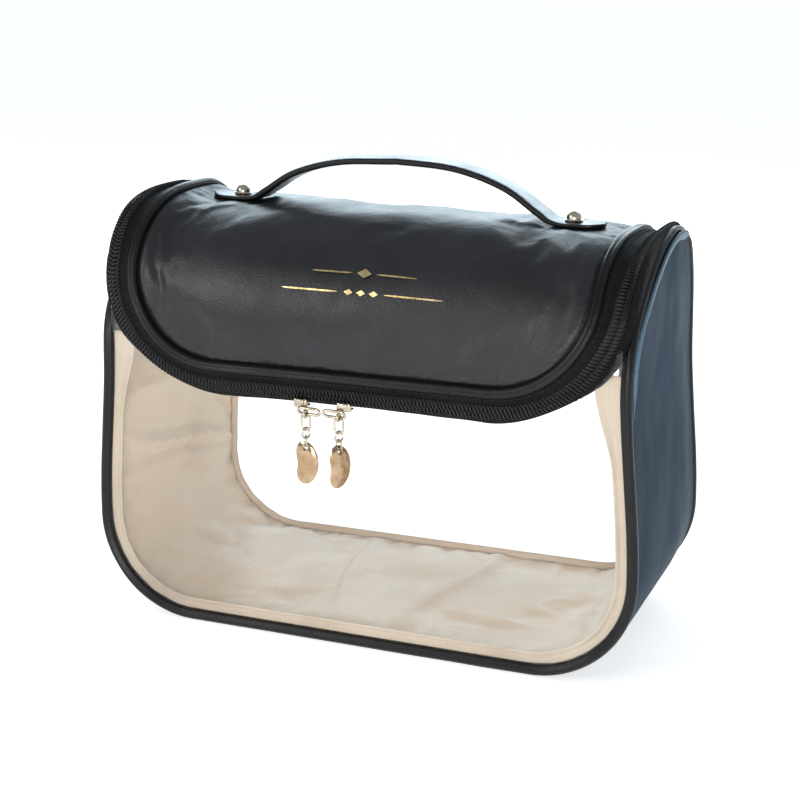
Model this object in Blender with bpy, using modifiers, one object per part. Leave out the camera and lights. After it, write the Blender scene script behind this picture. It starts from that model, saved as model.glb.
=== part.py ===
"""Clear-sided travel makeup bag.

A U-shaped gusset (left side, base and right side in one strip) joins a clear front panel to a clear
back panel. A padded lid wraps over the top and down the front, and a coil zipper runs round the lid's
edge. Origin: middle of the base on the surface the bag stands on; +X right, +Y back, +Z up; metres.
"""

import math

import bmesh
import bpy
from mathutils import Matrix, Vector

# Body
HALF_WIDTH = 0.1150  # outside of the gusset at the lower corners
TOP_HALF_WIDTH = 0.1100  # outside of the gusset above the taper
CORNER_RADIUS = 0.0420
TAPER_TOP = 0.120  # height where the sides stop leaning in
SEAM_Y = 0.0530  # front and back seams, from the middle
PIPING_RADIUS = 0.0022
WINDOW_THICKNESS = 0.0005
LEATHER_THICKNESS = 0.0012
FOAM_THICKNESS = 0.0020
LINING_THICKNESS = 0.0006
BOARD_THICKNESS = 0.0014
BOARD_INSET_X = 0.0020  # the base board's ends, inside the start of the round corners
BOARD_INSET_Y = 0.0080  # its sides, inside the seams
YOKE_LOW_Z = 0.1260  # where the back yoke meets the back window
BINDING_WIDTH = 0.0085
BINDING_THICKNESS = 0.0008
FRONT_BINDING_TOP = 0.1060
PANEL_SIDE_TOP = 0.1300  # the front panel's side edges end under the zipper tape here
GAP = 0.0003  # between neighbouring pieces

# Side profile of the gusset's upper edge, front seam over the tip to the back seam (y, z)
GUSSET_EDGE = (
    (-SEAM_Y, 0.100), (-0.0522, 0.122), (-0.0450, 0.1350), (-0.0280, 0.1455), (-0.0070, 0.1550),
    (0.0100, 0.1590), (0.0230, 0.1588), (0.0335, 0.1562), (0.0426, 0.1500), (0.0500, 0.1370),
    (0.0528, 0.1200), (SEAM_Y, 0.100),
)
TIP_FRONT = 0.0200  # the front piping stops here, in y
TIP_BACK = 0.0370  # the back piping stops here, in y

# Lid: a superellipse arch, front and back reach from the middle
ARCH_BASE = 0.108
ARCH_RISE = 0.0590
FRONT_REACH = 0.0580
BACK_REACH = 0.0535
FRONT_POWER = 2.7
BACK_POWER = 2.8
LID_HALF_WIDTH = 0.0930
LID_CORNER = 0.0360
LID_EDGE_Z = 0.1135
LID_PIPING_RADIUS = 0.0021
LID_FOAM_THICKNESS = 0.0026
LID_LAYER_GAP = 0.0008  # wider than GAP because the layers climb at the lid's edges
EDGE_LIFT = 0.0050  # the lid's side edges stand this much above its middle
EDGE_LIFT_START = 0.0855
HINGE_Y = 0.0380
HINGE_CLEARANCE = 0.0006

# Zipper
COIL_RADIUS = 0.00125
COIL_SPACING = 0.0029  # between the two coils' middles
TAPE_THICKNESS = 0.0007
COIL_REACH_FRONT = 0.00855  # lid edge to the middle of the lid's coil, at the front
COIL_REACH_TOP = 0.0115  # the same along the sides
PANEL_TOP_Z = 0.1010  # middle of the front panel's top edge
PANEL_STRAIGHT = 0.0450  # half length of its straight part
PANEL_RISE = 0.0305
PANEL_END_X = 0.1050
TAPE_SHORT = 0.0022  # the lid's tape, piping and coils stop this far before the hinge
PIPING_SHORT = 0.0040
COIL_SHORT = 0.0090

# Handle
STUD_X = 0.0720
TAB_END_X = 0.0845
STRAP_HALF_WIDTH = 0.0075
STRAP_THICKNESS = 0.0028
HANDLE_RISE = 0.0185
STUD_RADIUS = 0.0036
POST_RADIUS = 0.0013
HOLE_RADIUS = 0.0017
STUD_COLLAR = 0.0012
STUD_DOME = 0.0030
CAP_RADIUS = 0.0045
CAP_THICKNESS = 0.0010

# Pulls
SLIDER_X = {"left": -0.0165, "right": -0.0025}
SLIDER_LENGTH = 0.0110
SLIDER_FRONT = -0.0008  # the slider's plate and lip, from the eye's middle (y, then z)
SLIDER_PLATE_BACK = 0.0004
SLIDER_LIP_BACK = 0.0034
SLIDER_LOW = 0.0025
SLIDER_LIP_TOP = 0.0036
SLIDER_TOP = 0.0089
EYE_RADIUS = 0.0021
EYE_HOLE = 0.0011
EYE_THICKNESS = 0.0014
EYE_Z = 0.0963
EYE_Y = -0.0592
BEAN_TURN = {"left": 0, "right": 55}
LOWER_LINK_TURN = {"left": -60, "right": -30}
UPPER_LINK_TURN = 60
RING_HALF_WIDTH = 0.0018
RING_HEIGHT = 0.0061
RING_WIRE = 0.00045
LINK_HALF_WIDTH = 0.00165
LINK_HEIGHT = 0.0042
LINK_WIRE = 0.00038
LINK_PLAY = 0.00012  # between two rings that hang in each other
BEAN_HEIGHT = 0.0168
BEAN_HALF_WIDTH = 0.0044
BEAN_THICKNESS = 0.0014
BEAN_CHAMFER = 0.0003
BEAN_HOLE = 0.00135
BEAN_HOLE_DEPTH = 0.0024  # the hole's middle, under the bean's top

ROUND_STEPS = 12


def clear_scene():
    for item in list(bpy.data.objects):
        bpy.data.objects.remove(item, do_unlink=True)


def collection(name):
    group = bpy.data.collections.new(name)
    bpy.context.scene.collection.children.link(group)
    return group


def material(name, color, roughness, metallic=0.0, alpha=1.0):
    found = bpy.data.materials.get(name)
    if found:
        return found
    mat = bpy.data.materials.new(name)
    mat.use_nodes = True
    shader = mat.node_tree.nodes["Principled BSDF"]
    shader.inputs["Base Color"].default_value = (*color, 1.0)
    shader.inputs["Roughness"].default_value = roughness
    shader.inputs["Metallic"].default_value = metallic
    shader.inputs["Alpha"].default_value = alpha
    return mat


def black_leather():
    return material("black_leather", (0.030, 0.031, 0.034), 0.38)


def clear_film():
    return material("clear_film", (0.95, 0.95, 0.96), 0.05, alpha=0.25)


def beige_lining():
    return material("beige_lining", (0.66, 0.58, 0.50), 0.6)


def black_tape():
    return material("black_tape", (0.015, 0.015, 0.016), 0.8)


def pale_gold():
    return material("pale_gold", (0.78, 0.62, 0.44), 0.18, metallic=1.0)


def foam():
    return material("foam", (0.75, 0.75, 0.72), 0.9)


# ---------------------------------------------------------------- curves

def smoothstep(value):
    value = min(max(value, 0.0), 1.0)
    return value * value * (3.0 - 2.0 * value)


def mix(low, high, share):
    return low + (high - low) * share


def through(points, steps):
    """Catmull-Rom curve through the points."""
    points = [Vector(p) for p in points]
    padded = [points[0] * 2 - points[1]] + points + [points[-1] * 2 - points[-2]]
    found = []
    for i in range(1, len(padded) - 2):
        p0, p1, p2, p3 = padded[i - 1:i + 3]
        for k in range(steps):
            t = k / steps
            found.append(0.5 * (
                2 * p1 + (p2 - p0) * t + (2 * p0 - 5 * p1 + 4 * p2 - p3) * t ** 2
                + (3 * p1 - p0 - 3 * p2 + p3) * t ** 3
            ))
    return found + [points[-1]]


def lengths(points):
    total = [0.0]
    for a, b in zip(points, points[1:]):
        total.append(total[-1] + (b - a).length)
    return total


def along(points, distance):
    """Point at a distance along a polyline."""
    total = lengths(points)
    for i in range(1, len(points)):
        if total[i] >= distance or i == len(points) - 1:
            share = (distance - total[i - 1]) / (total[i] - total[i - 1])
            return points[i - 1].lerp(points[i], share)
    return points[-1]


def spaced(points, count):
    whole = lengths(points)[-1]
    return [along(points, whole * i / (count - 1)) for i in range(count)]


def offset_in_plane(points, distance):
    """A flat polyline moved to its right-hand side."""
    moved = []
    for i, point in enumerate(points):
        ahead = points[min(i + 1, len(points) - 1)]
        behind = points[max(i - 1, 0)]
        run = (ahead - behind).normalized()
        moved.append(point + Vector((run[1], -run[0])) * distance)
    return moved


# ---------------------------------------------------------------- body shape

def side_x(z):
    """Half width of the gusset's outer face at a height above the lower corner."""
    share = smoothstep((z - CORNER_RADIUS) / (TAPER_TOP - CORNER_RADIUS))
    return mix(HALF_WIDTH, TOP_HALF_WIDTH, share)


def u_half(inset, top, side_steps=6, arc_steps=7, base_steps=3):
    """(x, z) from the middle of the base to the right-hand top, inside the outer face by inset."""
    radius = CORNER_RADIUS - inset
    centre = HALF_WIDTH - CORNER_RADIUS
    points = [Vector((centre * i / base_steps, inset)) for i in range(base_steps)]
    for i in range(arc_steps + 1):
        angle = math.pi / 2 * i / arc_steps
        points.append(Vector((centre + radius * math.sin(angle), CORNER_RADIUS - radius * math.cos(angle))))
    for i in range(1, side_steps + 1):
        z = mix(CORNER_RADIUS, top, i / side_steps)
        points.append(Vector((side_x(z) - inset, z)))
    return points


def both_sides(right_half):
    """Left-hand top to right-hand top from a right half that starts at x = 0."""
    left = [Vector((-p[0], *p[1:])) for p in reversed(right_half[1:])]
    return left + right_half


def edge_profile():
    return through(GUSSET_EDGE, 6)


def edge_at(points, z, front):
    """y where a side profile crosses a height, on its front or its back flank."""
    flank = points if front else list(reversed(points))
    for a, b in zip(flank, flank[1:]):
        if a[1] <= z <= b[1]:
            return mix(a[0], b[0], (z - a[1]) / (b[1] - a[1]))
        if b[1] < a[1]:
            break
    return None


# ---------------------------------------------------------------- lid shape

def arch_z(y):
    reach, power = (FRONT_REACH, FRONT_POWER) if y < 0 else (BACK_REACH, BACK_POWER)
    share = min(abs(y) / reach, 1.0)
    return ARCH_BASE + ARCH_RISE * (1.0 - share ** power) ** (1.0 / power)


def arch_front_y(z):
    share = max(z - ARCH_BASE, 0.0) / ARCH_RISE
    return -FRONT_REACH * (1.0 - share ** FRONT_POWER) ** (1.0 / FRONT_POWER)


def arch_line():
    """(y, z) of the lid's outer face from its lower front edge to the hinge."""
    points = []
    shoulder_z = 0.150
    for i in range(20):
        z = mix(LID_EDGE_Z, shoulder_z, i / 20)
        points.append(Vector((arch_front_y(z), z)))
    shoulder_y = arch_front_y(shoulder_z)
    for i in range(61):
        y = mix(shoulder_y, HINGE_Y, i / 60)
        points.append(Vector((y, arch_z(y))))
    return points


ARCH = arch_line()
ARCH_LENGTH = lengths(ARCH)[-1]


def arch_point(s):
    """Place and outward normal, (y, z) each, at a distance from the lid's lower front edge."""
    if s <= 0.0:
        down = Vector((ARCH[0][0], ARCH[0][1] + s))
        return down, Vector((-1.0, 0.0))
    s = min(s, ARCH_LENGTH)
    run = along(ARCH, min(s + 0.001, ARCH_LENGTH)) - along(ARCH, max(s - 0.001, 0.0))
    run.normalize()
    return along(ARCH, s), Vector((-run[1], run[0]))


def lid_surface(x, s, depth):
    """Point of the lid at (x, s), under its outer face by depth."""
    place, normal = arch_point(s)
    fade = smoothstep((ARCH_LENGTH - s) / 0.030)
    climb = (abs(x) - EDGE_LIFT_START) / (LID_HALF_WIDTH - EDGE_LIFT_START)
    lift = EDGE_LIFT * min(max(climb, 0.0), 1.0)
    place = place + normal * (lift * fade * max(normal[1], 0.0) - depth)
    return Vector((x, place[0], place[1]))


def edge_stations(side_count=12, corner_count=9, front_count=4):
    """Right half of the lid's edge: (x, s, outward x, outward s, share of the side run)."""
    straight = LID_HALF_WIDTH - LID_CORNER
    found = [(straight * i / front_count, 0.0, 0.0, -1.0, 0.0) for i in range(front_count)]
    for i in range(corner_count + 1):
        angle = math.pi / 2 * i / corner_count
        sine, cosine = math.sin(angle), math.cos(angle)
        found.append((straight + LID_CORNER * sine, LID_CORNER * (1 - cosine), sine, -cosine, 0.0))
    side_end = ARCH_LENGTH - HINGE_CLEARANCE
    for i in range(1, side_count + 1):
        share = i / side_count
        found.append((LID_HALF_WIDTH, mix(LID_CORNER, side_end, share), 1.0, 0.0, share))
    return found


def band_point(station, reach):
    """Point of the zipper band at a distance outside the lid's edge."""
    x, s, out_x, out_s, _ = station
    return lid_surface(x + out_x * reach, s + out_s * reach, 0.12 * reach)


def coil_reach(station):
    return mix(COIL_REACH_FRONT, COIL_REACH_TOP, smoothstep(station[4] * 2 + station[2] * 0.5))


def lid_coil_point(station):
    return band_point(station, coil_reach(station))


def body_coil_point(station):
    """Beside the lid's coil, turned down round the ridge."""
    x, s, out_x, out_s, share = station
    reach = coil_reach(station)
    middle = lid_coil_point(station)
    ahead = (middle - band_point(station, reach - 0.002)).normalized()
    normal_y, normal_z = arch_point(s + out_s * reach)[1]
    turn = math.radians(mix(20, 45, smoothstep(share * 2)))
    inward = Vector((0.0, -normal_y, -normal_z))
    return middle + (ahead * math.cos(turn) + inward * math.sin(turn)) * COIL_SPACING


def panel_top(station):
    """(x, z) of the front panel's top edge for a station of the lid's front or corner."""
    x, _, out_x, _, _ = station
    straight = LID_HALF_WIDTH - LID_CORNER
    if out_x == 0.0:
        angle = 0.0
        x = x * PANEL_STRAIGHT / straight
    else:
        angle = math.asin(out_x)
        x = PANEL_STRAIGHT + (PANEL_END_X - PANEL_STRAIGHT) * out_x
    return Vector((x, PANEL_TOP_Z + PANEL_RISE * (1 - math.cos(angle))))


def tape_end_point(station):
    """Where the body's zipper tape is sewn: under the front edge, then along the gusset's piping."""
    _, _, out_x, _, share = station
    if share == 0.0:
        x, z = panel_top(station)
        y = mix(-0.0455, -0.0519, smoothstep(out_x * 2.2))
        return Vector((x, y, z + 0.0006 * out_x))
    profile = [p for p in offset_in_plane(edge_profile(), -PIPING_RADIUS - GAP) if p[1] > 0.1322]
    profile = profile[:[p[0] > TIP_FRONT + 0.010 for p in profile].index(True)]
    y, z = along(profile, lengths(profile)[-1] * share)
    return Vector((mix(PANEL_END_X, side_x(z) - PIPING_RADIUS, smoothstep(share * 4)), y, z))


# ---------------------------------------------------------------- objects

def add(group, mesh_or_curve, name, mat):
    item = bpy.data.objects.new(name, mesh_or_curve)
    mesh_or_curve.materials.append(mat)
    group.objects.link(item)
    return item


def shade(mesh):
    mesh.shade_smooth()
    mesh.set_sharp_from_angle(angle=math.radians(35))


def sheet(group, name, rows, thickness, mat):
    """A sheet lofted through rows of points, given its thickness about its middle."""
    builder = bmesh.new()
    grid = [[builder.verts.new(p) for p in row] for row in rows]
    for near, far in zip(grid, grid[1:]):
        for i in range(len(near) - 1):
            builder.faces.new((near[i], near[i + 1], far[i + 1], far[i]))
    mesh = bpy.data.meshes.new(name)
    builder.to_mesh(mesh)
    builder.free()
    shade(mesh)
    item = add(group, mesh, name, mat)
    solid = item.modifiers.new("thickness", "SOLIDIFY")
    solid.thickness = thickness
    solid.offset = 0.0
    solid.use_even_offset = True
    solid.use_quality_normals = True
    return item


def tube(group, name, points, radius, mat, resolution=1, cyclic=False):
    """A round tube along the points."""
    curve = bpy.data.curves.new(name, "CURVE")
    curve.dimensions = "3D"
    curve.bevel_depth = radius
    curve.bevel_resolution = resolution
    curve.use_fill_caps = not cyclic
    spline = curve.splines.new("POLY")
    spline.points.add(len(points) - 1)
    for target, point in zip(spline.points, points):
        target.co = (*point, 1.0)
    spline.use_cyclic_u = cyclic
    return add(group, curve, name, mat)


def flat_panel(group, name, outline, thickness, y, mat):
    """A flat upright panel from an (x, z) outline."""
    curve = bpy.data.curves.new(name, "CURVE")
    curve.dimensions = "2D"
    curve.fill_mode = "BOTH"
    curve.extrude = thickness / 2
    spline = curve.splines.new("POLY")
    spline.points.add(len(outline) - 1)
    for target, point in zip(spline.points, outline):
        target.co = (point[0], point[1], 0.0, 1.0)
    spline.use_cyclic_u = True
    item = add(group, curve, name, mat)
    item.location = (0.0, y, 0.0)
    item.rotation_euler = (math.pi / 2, 0.0, 0.0)
    return item


def turned(group, name, profile, place, mat, steps=ROUND_STEPS):
    """A profile of (radius, height), given top to bottom down its outer side, turned about +Z."""
    mesh = bpy.data.meshes.new(name)
    edges = [(i, i + 1) for i in range(len(profile) - 1)]
    if profile[0][0] > 0:
        edges.append((len(profile) - 1, 0))
    mesh.from_pydata([(r, 0.0, z) for r, z in profile], edges, [])
    item = add(group, mesh, name, mat)
    item.location = place
    screw = item.modifiers.new("turn", "SCREW")
    screw.steps = steps
    screw.render_steps = steps
    screw.use_merge_vertices = True
    screw.merge_threshold = 0.00001
    return item


def post_hole_cutters(cutters):
    """Upright cylinders at the two handle studs."""
    found = []
    for side, sign in (("left", -1), ("right", 1)):
        mesh = bpy.data.meshes.new("stud_hole_" + side)
        builder = bmesh.new()
        bmesh.ops.create_cone(
            builder, cap_ends=True, segments=ROUND_STEPS,
            radius1=HOLE_RADIUS, radius2=HOLE_RADIUS, depth=5 * STUD_RADIUS,
        )
        builder.to_mesh(mesh)
        builder.free()
        cutter = bpy.data.objects.new("stud_hole_" + side, mesh)
        cutter.location = (sign * STUD_X, 0.0, arch_z(0.0))
        cutter.hide_render = True
        cutter.display_type = "WIRE"
        cutters.objects.link(cutter)
        found.append(cutter)
    return found


def drill(item, cutters):
    for cutter in cutters:
        cut = item.modifiers.new("stud_hole", "BOOLEAN")
        cut.operation = "DIFFERENCE"
        cut.object = cutter


# ---------------------------------------------------------------- body pieces

def gusset_layer(group, name, inset, thickness, edge_gap, mat):
    """One layer of the U strip; inset is to its outer face."""
    middle = inset + thickness / 2
    profile = offset_in_plane(edge_profile(), edge_gap)
    top = max(p[1] for p in profile) - 0.0006
    rows = []
    for x, z in both_sides(u_half(middle, top, side_steps=11)):
        front = edge_at(profile, z, True) if z > GUSSET_EDGE[0][1] else None
        back = edge_at(profile, z, False) if z > GUSSET_EDGE[0][1] else None
        front = -SEAM_Y + edge_gap if front is None else front
        back = SEAM_Y - edge_gap if back is None else back
        rows.append([Vector((x, mix(front, back, i / 3), z)) for i in range(4)])
    return sheet(group, name, rows, thickness, mat)


def piping_path(front):
    """Round the U in the seam plane, then over the gusset's upper edge towards its tip."""
    profile = edge_profile()
    if not front:
        profile.reverse()
    limit = TIP_FRONT if front else TIP_BACK
    rising = [p for p in profile if (p[0] < limit if front else p[0] > limit)]
    start_z = rising[0][1]
    flat = u_half(PIPING_RADIUS, start_z, side_steps=4, arc_steps=8)
    y = -SEAM_Y if front else SEAM_Y
    half = [Vector((x, y, z)) for x, z in flat]
    for point in spaced(rising, 13)[1:]:
        half.append(Vector((side_x(point[1]) - PIPING_RADIUS, point[0], point[1])))
    return both_sides(half)


def body_pipings(group):
    tube(group, "front_piping", piping_path(True), PIPING_RADIUS, black_leather())
    tube(group, "back_piping", piping_path(False), PIPING_RADIUS, black_leather())


def front_panel_outline(inset):
    """Closed (x, z) outline of the front panel, counter-clockwise from the upper right."""
    flat = [Vector((x, z)) for x, z in u_half(inset, PANEL_SIDE_TOP, side_steps=5)]
    top = [panel_top(s) - Vector((0.0, 0.0011)) for s in edge_stations() if s[4] == 0.0]
    top = [p for p in top if p[0] < flat[-1][0] - 0.001 and p[1] < PANEL_SIDE_TOP - 0.0005]
    right = flat + list(reversed(top))
    left = [Vector((-p[0], p[1])) for p in reversed(right) if p[0] > 0]
    return right + left


def windows(group):
    inset = 2 * PIPING_RADIUS + GAP
    flat_panel(group, "front_window", front_panel_outline(inset), WINDOW_THICKNESS, -SEAM_Y, clear_film())
    flat = u_half(inset, YOKE_LOW_Z - GAP, side_steps=4)
    flat_panel(group, "back_window", both_sides(flat), WINDOW_THICKNESS, SEAM_Y, clear_film())


def binding_outline(inset, top):
    outer = u_half(inset, top)
    inner = u_half(inset + BINDING_WIDTH, top)
    return both_sides(outer) + list(reversed(both_sides(inner)))


def bindings(group):
    """Seam bindings inside the front and back seams."""
    inset = 2 * PIPING_RADIUS + GAP
    y = SEAM_Y - WINDOW_THICKNESS / 2 - GAP - BINDING_THICKNESS / 2
    mat = material("binding", (0.48, 0.43, 0.38), 0.8)
    front = binding_outline(inset, FRONT_BINDING_TOP)
    back = binding_outline(inset, YOKE_LOW_Z - GAP)
    flat_panel(group, "front_seam_binding", front, BINDING_THICKNESS, -y, mat)
    flat_panel(group, "back_seam_binding", back, BINDING_THICKNESS, y, mat)


def gusset(group):
    side = material("slate_leather", (0.085, 0.125, 0.165), 0.42)
    edge = PIPING_RADIUS + GAP
    gusset_layer(group, "gusset_leather", 0.0, LEATHER_THICKNESS, edge, side)
    foam_inset = LEATHER_THICKNESS + GAP
    gusset_layer(group, "gusset_foam", foam_inset, FOAM_THICKNESS, edge + 0.0015, foam())
    lining_inset = foam_inset + FOAM_THICKNESS + BOARD_THICKNESS + 2 * GAP
    gusset_layer(group, "gusset_lining", lining_inset, LINING_THICKNESS, edge + 0.0008, beige_lining())
    base_board(group, foam_inset + FOAM_THICKNESS + GAP)


def base_board(group, z):
    """Stiffener between the foam and the lining of the base."""
    half_x = HALF_WIDTH - CORNER_RADIUS - BOARD_INSET_X
    half_y = SEAM_Y - BOARD_INSET_Y
    mesh = bpy.data.meshes.new("base_board")
    builder = bmesh.new()
    bmesh.ops.create_cube(builder, size=1.0)
    bmesh.ops.scale(builder, vec=(2 * half_x, 2 * half_y, BOARD_THICKNESS), verts=builder.verts)
    builder.to_mesh(mesh)
    builder.free()
    board = add(group, mesh, "base_board", material("board", (0.55, 0.42, 0.28), 0.8))
    board.location = (0.0, 0.0, z + BOARD_THICKNESS / 2)


def back_yoke(group):
    """Leather strip from the hinge down to the back window, and its lining."""
    for name, depth, thickness, mat in (
        ("back_yoke", LEATHER_THICKNESS / 2, LEATHER_THICKNESS, black_leather()),
        ("yoke_lining", LEATHER_THICKNESS + GAP + LINING_THICKNESS / 2, LINING_THICKNESS, beige_lining()),
    ):
        rows = []
        for i in range(7):
            share = i / 6
            z = mix(arch_z(HINGE_Y) - 0.0008, YOKE_LOW_Z, share ** 1.3)
            rise = (z - ARCH_BASE) / ARCH_RISE
            y = BACK_REACH * (1.0 - rise ** BACK_POWER) ** (1.0 / BACK_POWER)
            y = max(y, HINGE_Y + HINGE_CLEARANCE)
            half = side_x(z) - 2 * PIPING_RADIUS - GAP
            slope_y = (y / BACK_REACH) ** (BACK_POWER - 1) / BACK_REACH
            slope_z = max(rise, 0.0) ** (BACK_POWER - 1) / ARCH_RISE
            normal = Vector((slope_y, slope_z)).normalized()
            y -= normal[0] * depth
            low_z = z - normal[1] * depth
            rows.append([Vector((half * (2 * k / 6 - 1), y, low_z)) for k in range(7)])
        sheet(group, name, rows, thickness, mat)


# ---------------------------------------------------------------- lid pieces

def lid_layer(group, name, depth, thickness, edge_gap, mat):
    """One layer of the lid; depth is to its outer face."""
    middle = depth + thickness / 2
    low = edge_gap
    high = ARCH_LENGTH - HINGE_CLEARANCE - edge_gap * 0.5
    corner = LID_CORNER - edge_gap
    half = LID_HALF_WIDTH - edge_gap
    reach = [LID_CORNER * (1 - math.cos(math.pi / 2 * i / 6)) for i in range(7)]
    reach += [mix(LID_CORNER, ARCH_LENGTH, i / 10) for i in range(1, 11)]
    rows = []
    for s in reach:
        s = min(max(s, low), high)
        climb = min((s - low) / corner, 1.0)
        width = half - corner * (1 - math.sqrt(max(1 - (1 - climb) ** 2, 0.0)))
        inner = min(EDGE_LIFT_START, width * 0.94)
        columns = [-width, -inner, -inner * 0.5, 0.0, inner * 0.5, inner, width]
        rows.append([lid_surface(x, s, middle) for x in columns])
    return sheet(group, name, rows, thickness, mat)


def lid(group, cutters):
    layers = [lid_layer(group, "lid_leather", 0.0, LEATHER_THICKNESS, GAP, black_leather())]
    depth = LEATHER_THICKNESS + LID_LAYER_GAP
    layers.append(lid_layer(group, "lid_foam", depth, LID_FOAM_THICKNESS, 0.0022, foam()))
    depth += LID_FOAM_THICKNESS + LID_LAYER_GAP
    layers.append(lid_layer(group, "lid_lining", depth, LINING_THICKNESS, 0.0015, beige_lining()))
    for layer in layers:
        drill(layer, cutters)
    stations = trimmed_stations(PIPING_SHORT)
    path = both_sides([band_point(s, LID_PIPING_RADIUS) for s in stations])
    tube(group, "lid_piping", path, LID_PIPING_RADIUS, black_leather())
    return depth + LINING_THICKNESS


def trimmed_stations(short):
    """The lid's edge stopping short of the hinge."""
    stations = edge_stations()
    limit = ARCH_LENGTH - short
    return [(x, min(s, limit), *rest) for x, s, *rest in stations]


# ---------------------------------------------------------------- zipper pieces

def zipper(group):
    tape = []
    for station in trimmed_stations(TAPE_SHORT):
        inner = 2 * LID_PIPING_RADIUS + GAP
        outer = coil_reach(station) - COIL_RADIUS - GAP
        tape.append([band_point(station, mix(inner, outer, k / 2)) for k in range(3)])
    sheet(group, "lid_zipper_tape", mirrored_rows(tape), TAPE_THICKNESS, black_tape())
    stations = trimmed_stations(COIL_SHORT)
    lid_coil = [lid_coil_point(s) for s in stations]
    coil = [body_coil_point(s) for s in stations]
    tube(group, "lid_zipper_coil", both_sides(lid_coil), COIL_RADIUS, black_tape())
    tube(group, "body_zipper_coil", both_sides(coil), COIL_RADIUS, black_tape())
    tape = []
    for i, station in enumerate(stations):
        run = coil[min(i + 1, len(coil) - 1)] - coil[max(i - 1, 0)]
        run.normalize()
        end = tape_end_point(station)
        away = end - coil[i]
        away = (away - run * away.dot(run)).normalized()
        start = coil[i] + away * (COIL_RADIUS + 2 * GAP + TAPE_THICKNESS / 2)
        tape.append([start.lerp(end, k / 2) for k in range(3)])
    sheet(group, "body_zipper_tape", mirrored_rows(tape), TAPE_THICKNESS, black_tape())


def mirrored_rows(right_half):
    left = [[Vector((-p[0], p[1], p[2])) for p in row] for row in reversed(right_half[1:])]
    return left + right_half


# ---------------------------------------------------------------- handle pieces

def handle(group, cutters, under_lid):
    top = arch_z(0.0)
    rest_z = GAP + STRAP_THICKNESS / 2
    bow = ((0.0, 1.0), (0.0250, 0.92), (0.0450, 0.62), (0.0590, 0.16), (0.0660, 0.0), (TAB_END_X, 0.0))
    shape = through([(x, rise * HANDLE_RISE + rest_z) for x, rise in bow], 4)
    rows = []
    for x, z in both_sides([Vector(p) for p in shape]):
        tip = max(0.0, (abs(x) - TAB_END_X + STRAP_HALF_WIDTH) / STRAP_HALF_WIDTH)
        half = STRAP_HALF_WIDTH * math.sqrt(max(1.0 - (0.93 * tip) ** 2, 0.0))
        rows.append([Vector((x, half * (2 * k / 3 - 1), top + z)) for k in range(4)])
    mat = material("strap_leather", (0.030, 0.033, 0.037), 0.3)
    drill(sheet(group, "handle_strap", rows, STRAP_THICKNESS, mat), cutters)
    studs(group, top, under_lid)


def studs(group, top, under_lid):
    """Domed stud with its post, and a washer under the lid, at each end of the strap."""
    head = STRAP_THICKNESS + 2 * GAP
    low = -under_lid - GAP
    angles = [math.pi / 2 * i / 4 for i in range(5)]
    dome = [(STUD_RADIUS * math.sin(a), head + STUD_COLLAR + STUD_DOME * math.cos(a)) for a in angles]
    post = [(STUD_RADIUS, head), (POST_RADIUS, head), (POST_RADIUS, low - CAP_THICKNESS - GAP)]
    stud = dome + post + [(0.0, post[-1][1])]
    cap = [(CAP_RADIUS, low), (CAP_RADIUS, low - CAP_THICKNESS)]
    cap += [(HOLE_RADIUS, low - CAP_THICKNESS), (HOLE_RADIUS, low)]
    for side, sign in (("left", -1), ("right", 1)):
        place = (sign * STUD_X, 0.0, top)
        turned(group, "handle_stud_" + side, stud, place, pale_gold())
        turned(group, "stud_washer_" + side, cap, place, pale_gold())


# ---------------------------------------------------------------- pulls

def oval_ring(half_width, height, steps=16):
    """(x, z) points of an upright oval loop that hangs from z = 0."""
    points = []
    straight = height / 2 - half_width
    for i in range(steps):
        angle = 2 * math.pi * (i + 0.5) / steps
        lift = straight if math.sin(angle) > 0 else -straight
        points.append((half_width * math.cos(angle), -height / 2 + lift + half_width * math.sin(angle)))
    return points


def hung_ring(group, name, place, turn, half_width, height, wire):
    spin = Matrix.Rotation(math.radians(turn), 3, "Z")
    points = [spin @ Vector((x, 0.0, z)) for x, z in oval_ring(half_width, height)]
    item = tube(group, name, points, wire, pale_gold(), resolution=1, cyclic=True)
    item.location = place
    return item


def pushed_out(name, outline, push):
    """Mesh of a flat outline pushed along a direction, half to each side."""
    builder = bmesh.new()
    corners = [builder.verts.new(Vector(p) - push / 2) for p in outline]
    face = builder.faces.new(corners)
    moved = bmesh.ops.extrude_face_region(builder, geom=[face])["geom"]
    ends = [part for part in moved if isinstance(part, bmesh.types.BMVert)]
    bmesh.ops.translate(builder, vec=push, verts=ends)
    bmesh.ops.recalc_face_normals(builder, faces=builder.faces)
    mesh = bpy.data.meshes.new(name)
    builder.to_mesh(mesh)
    builder.free()
    return mesh


def cutter(cutters, name, mesh, place):
    item = bpy.data.objects.new(name, mesh)
    item.location = place
    item.hide_render = True
    item.display_type = "WIRE"
    cutters.objects.link(item)
    return item


def round_bar(name, radius, length, turn_axis):
    """Mesh of a cylinder turned a quarter turn about an axis, from upright."""
    mesh = bpy.data.meshes.new(name)
    builder = bmesh.new()
    bmesh.ops.create_cone(
        builder, cap_ends=True, segments=ROUND_STEPS, radius1=radius, radius2=radius, depth=length
    )
    bmesh.ops.rotate(builder, verts=builder.verts, matrix=Matrix.Rotation(math.pi / 2, 3, turn_axis))
    builder.to_mesh(mesh)
    builder.free()
    return mesh


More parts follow.
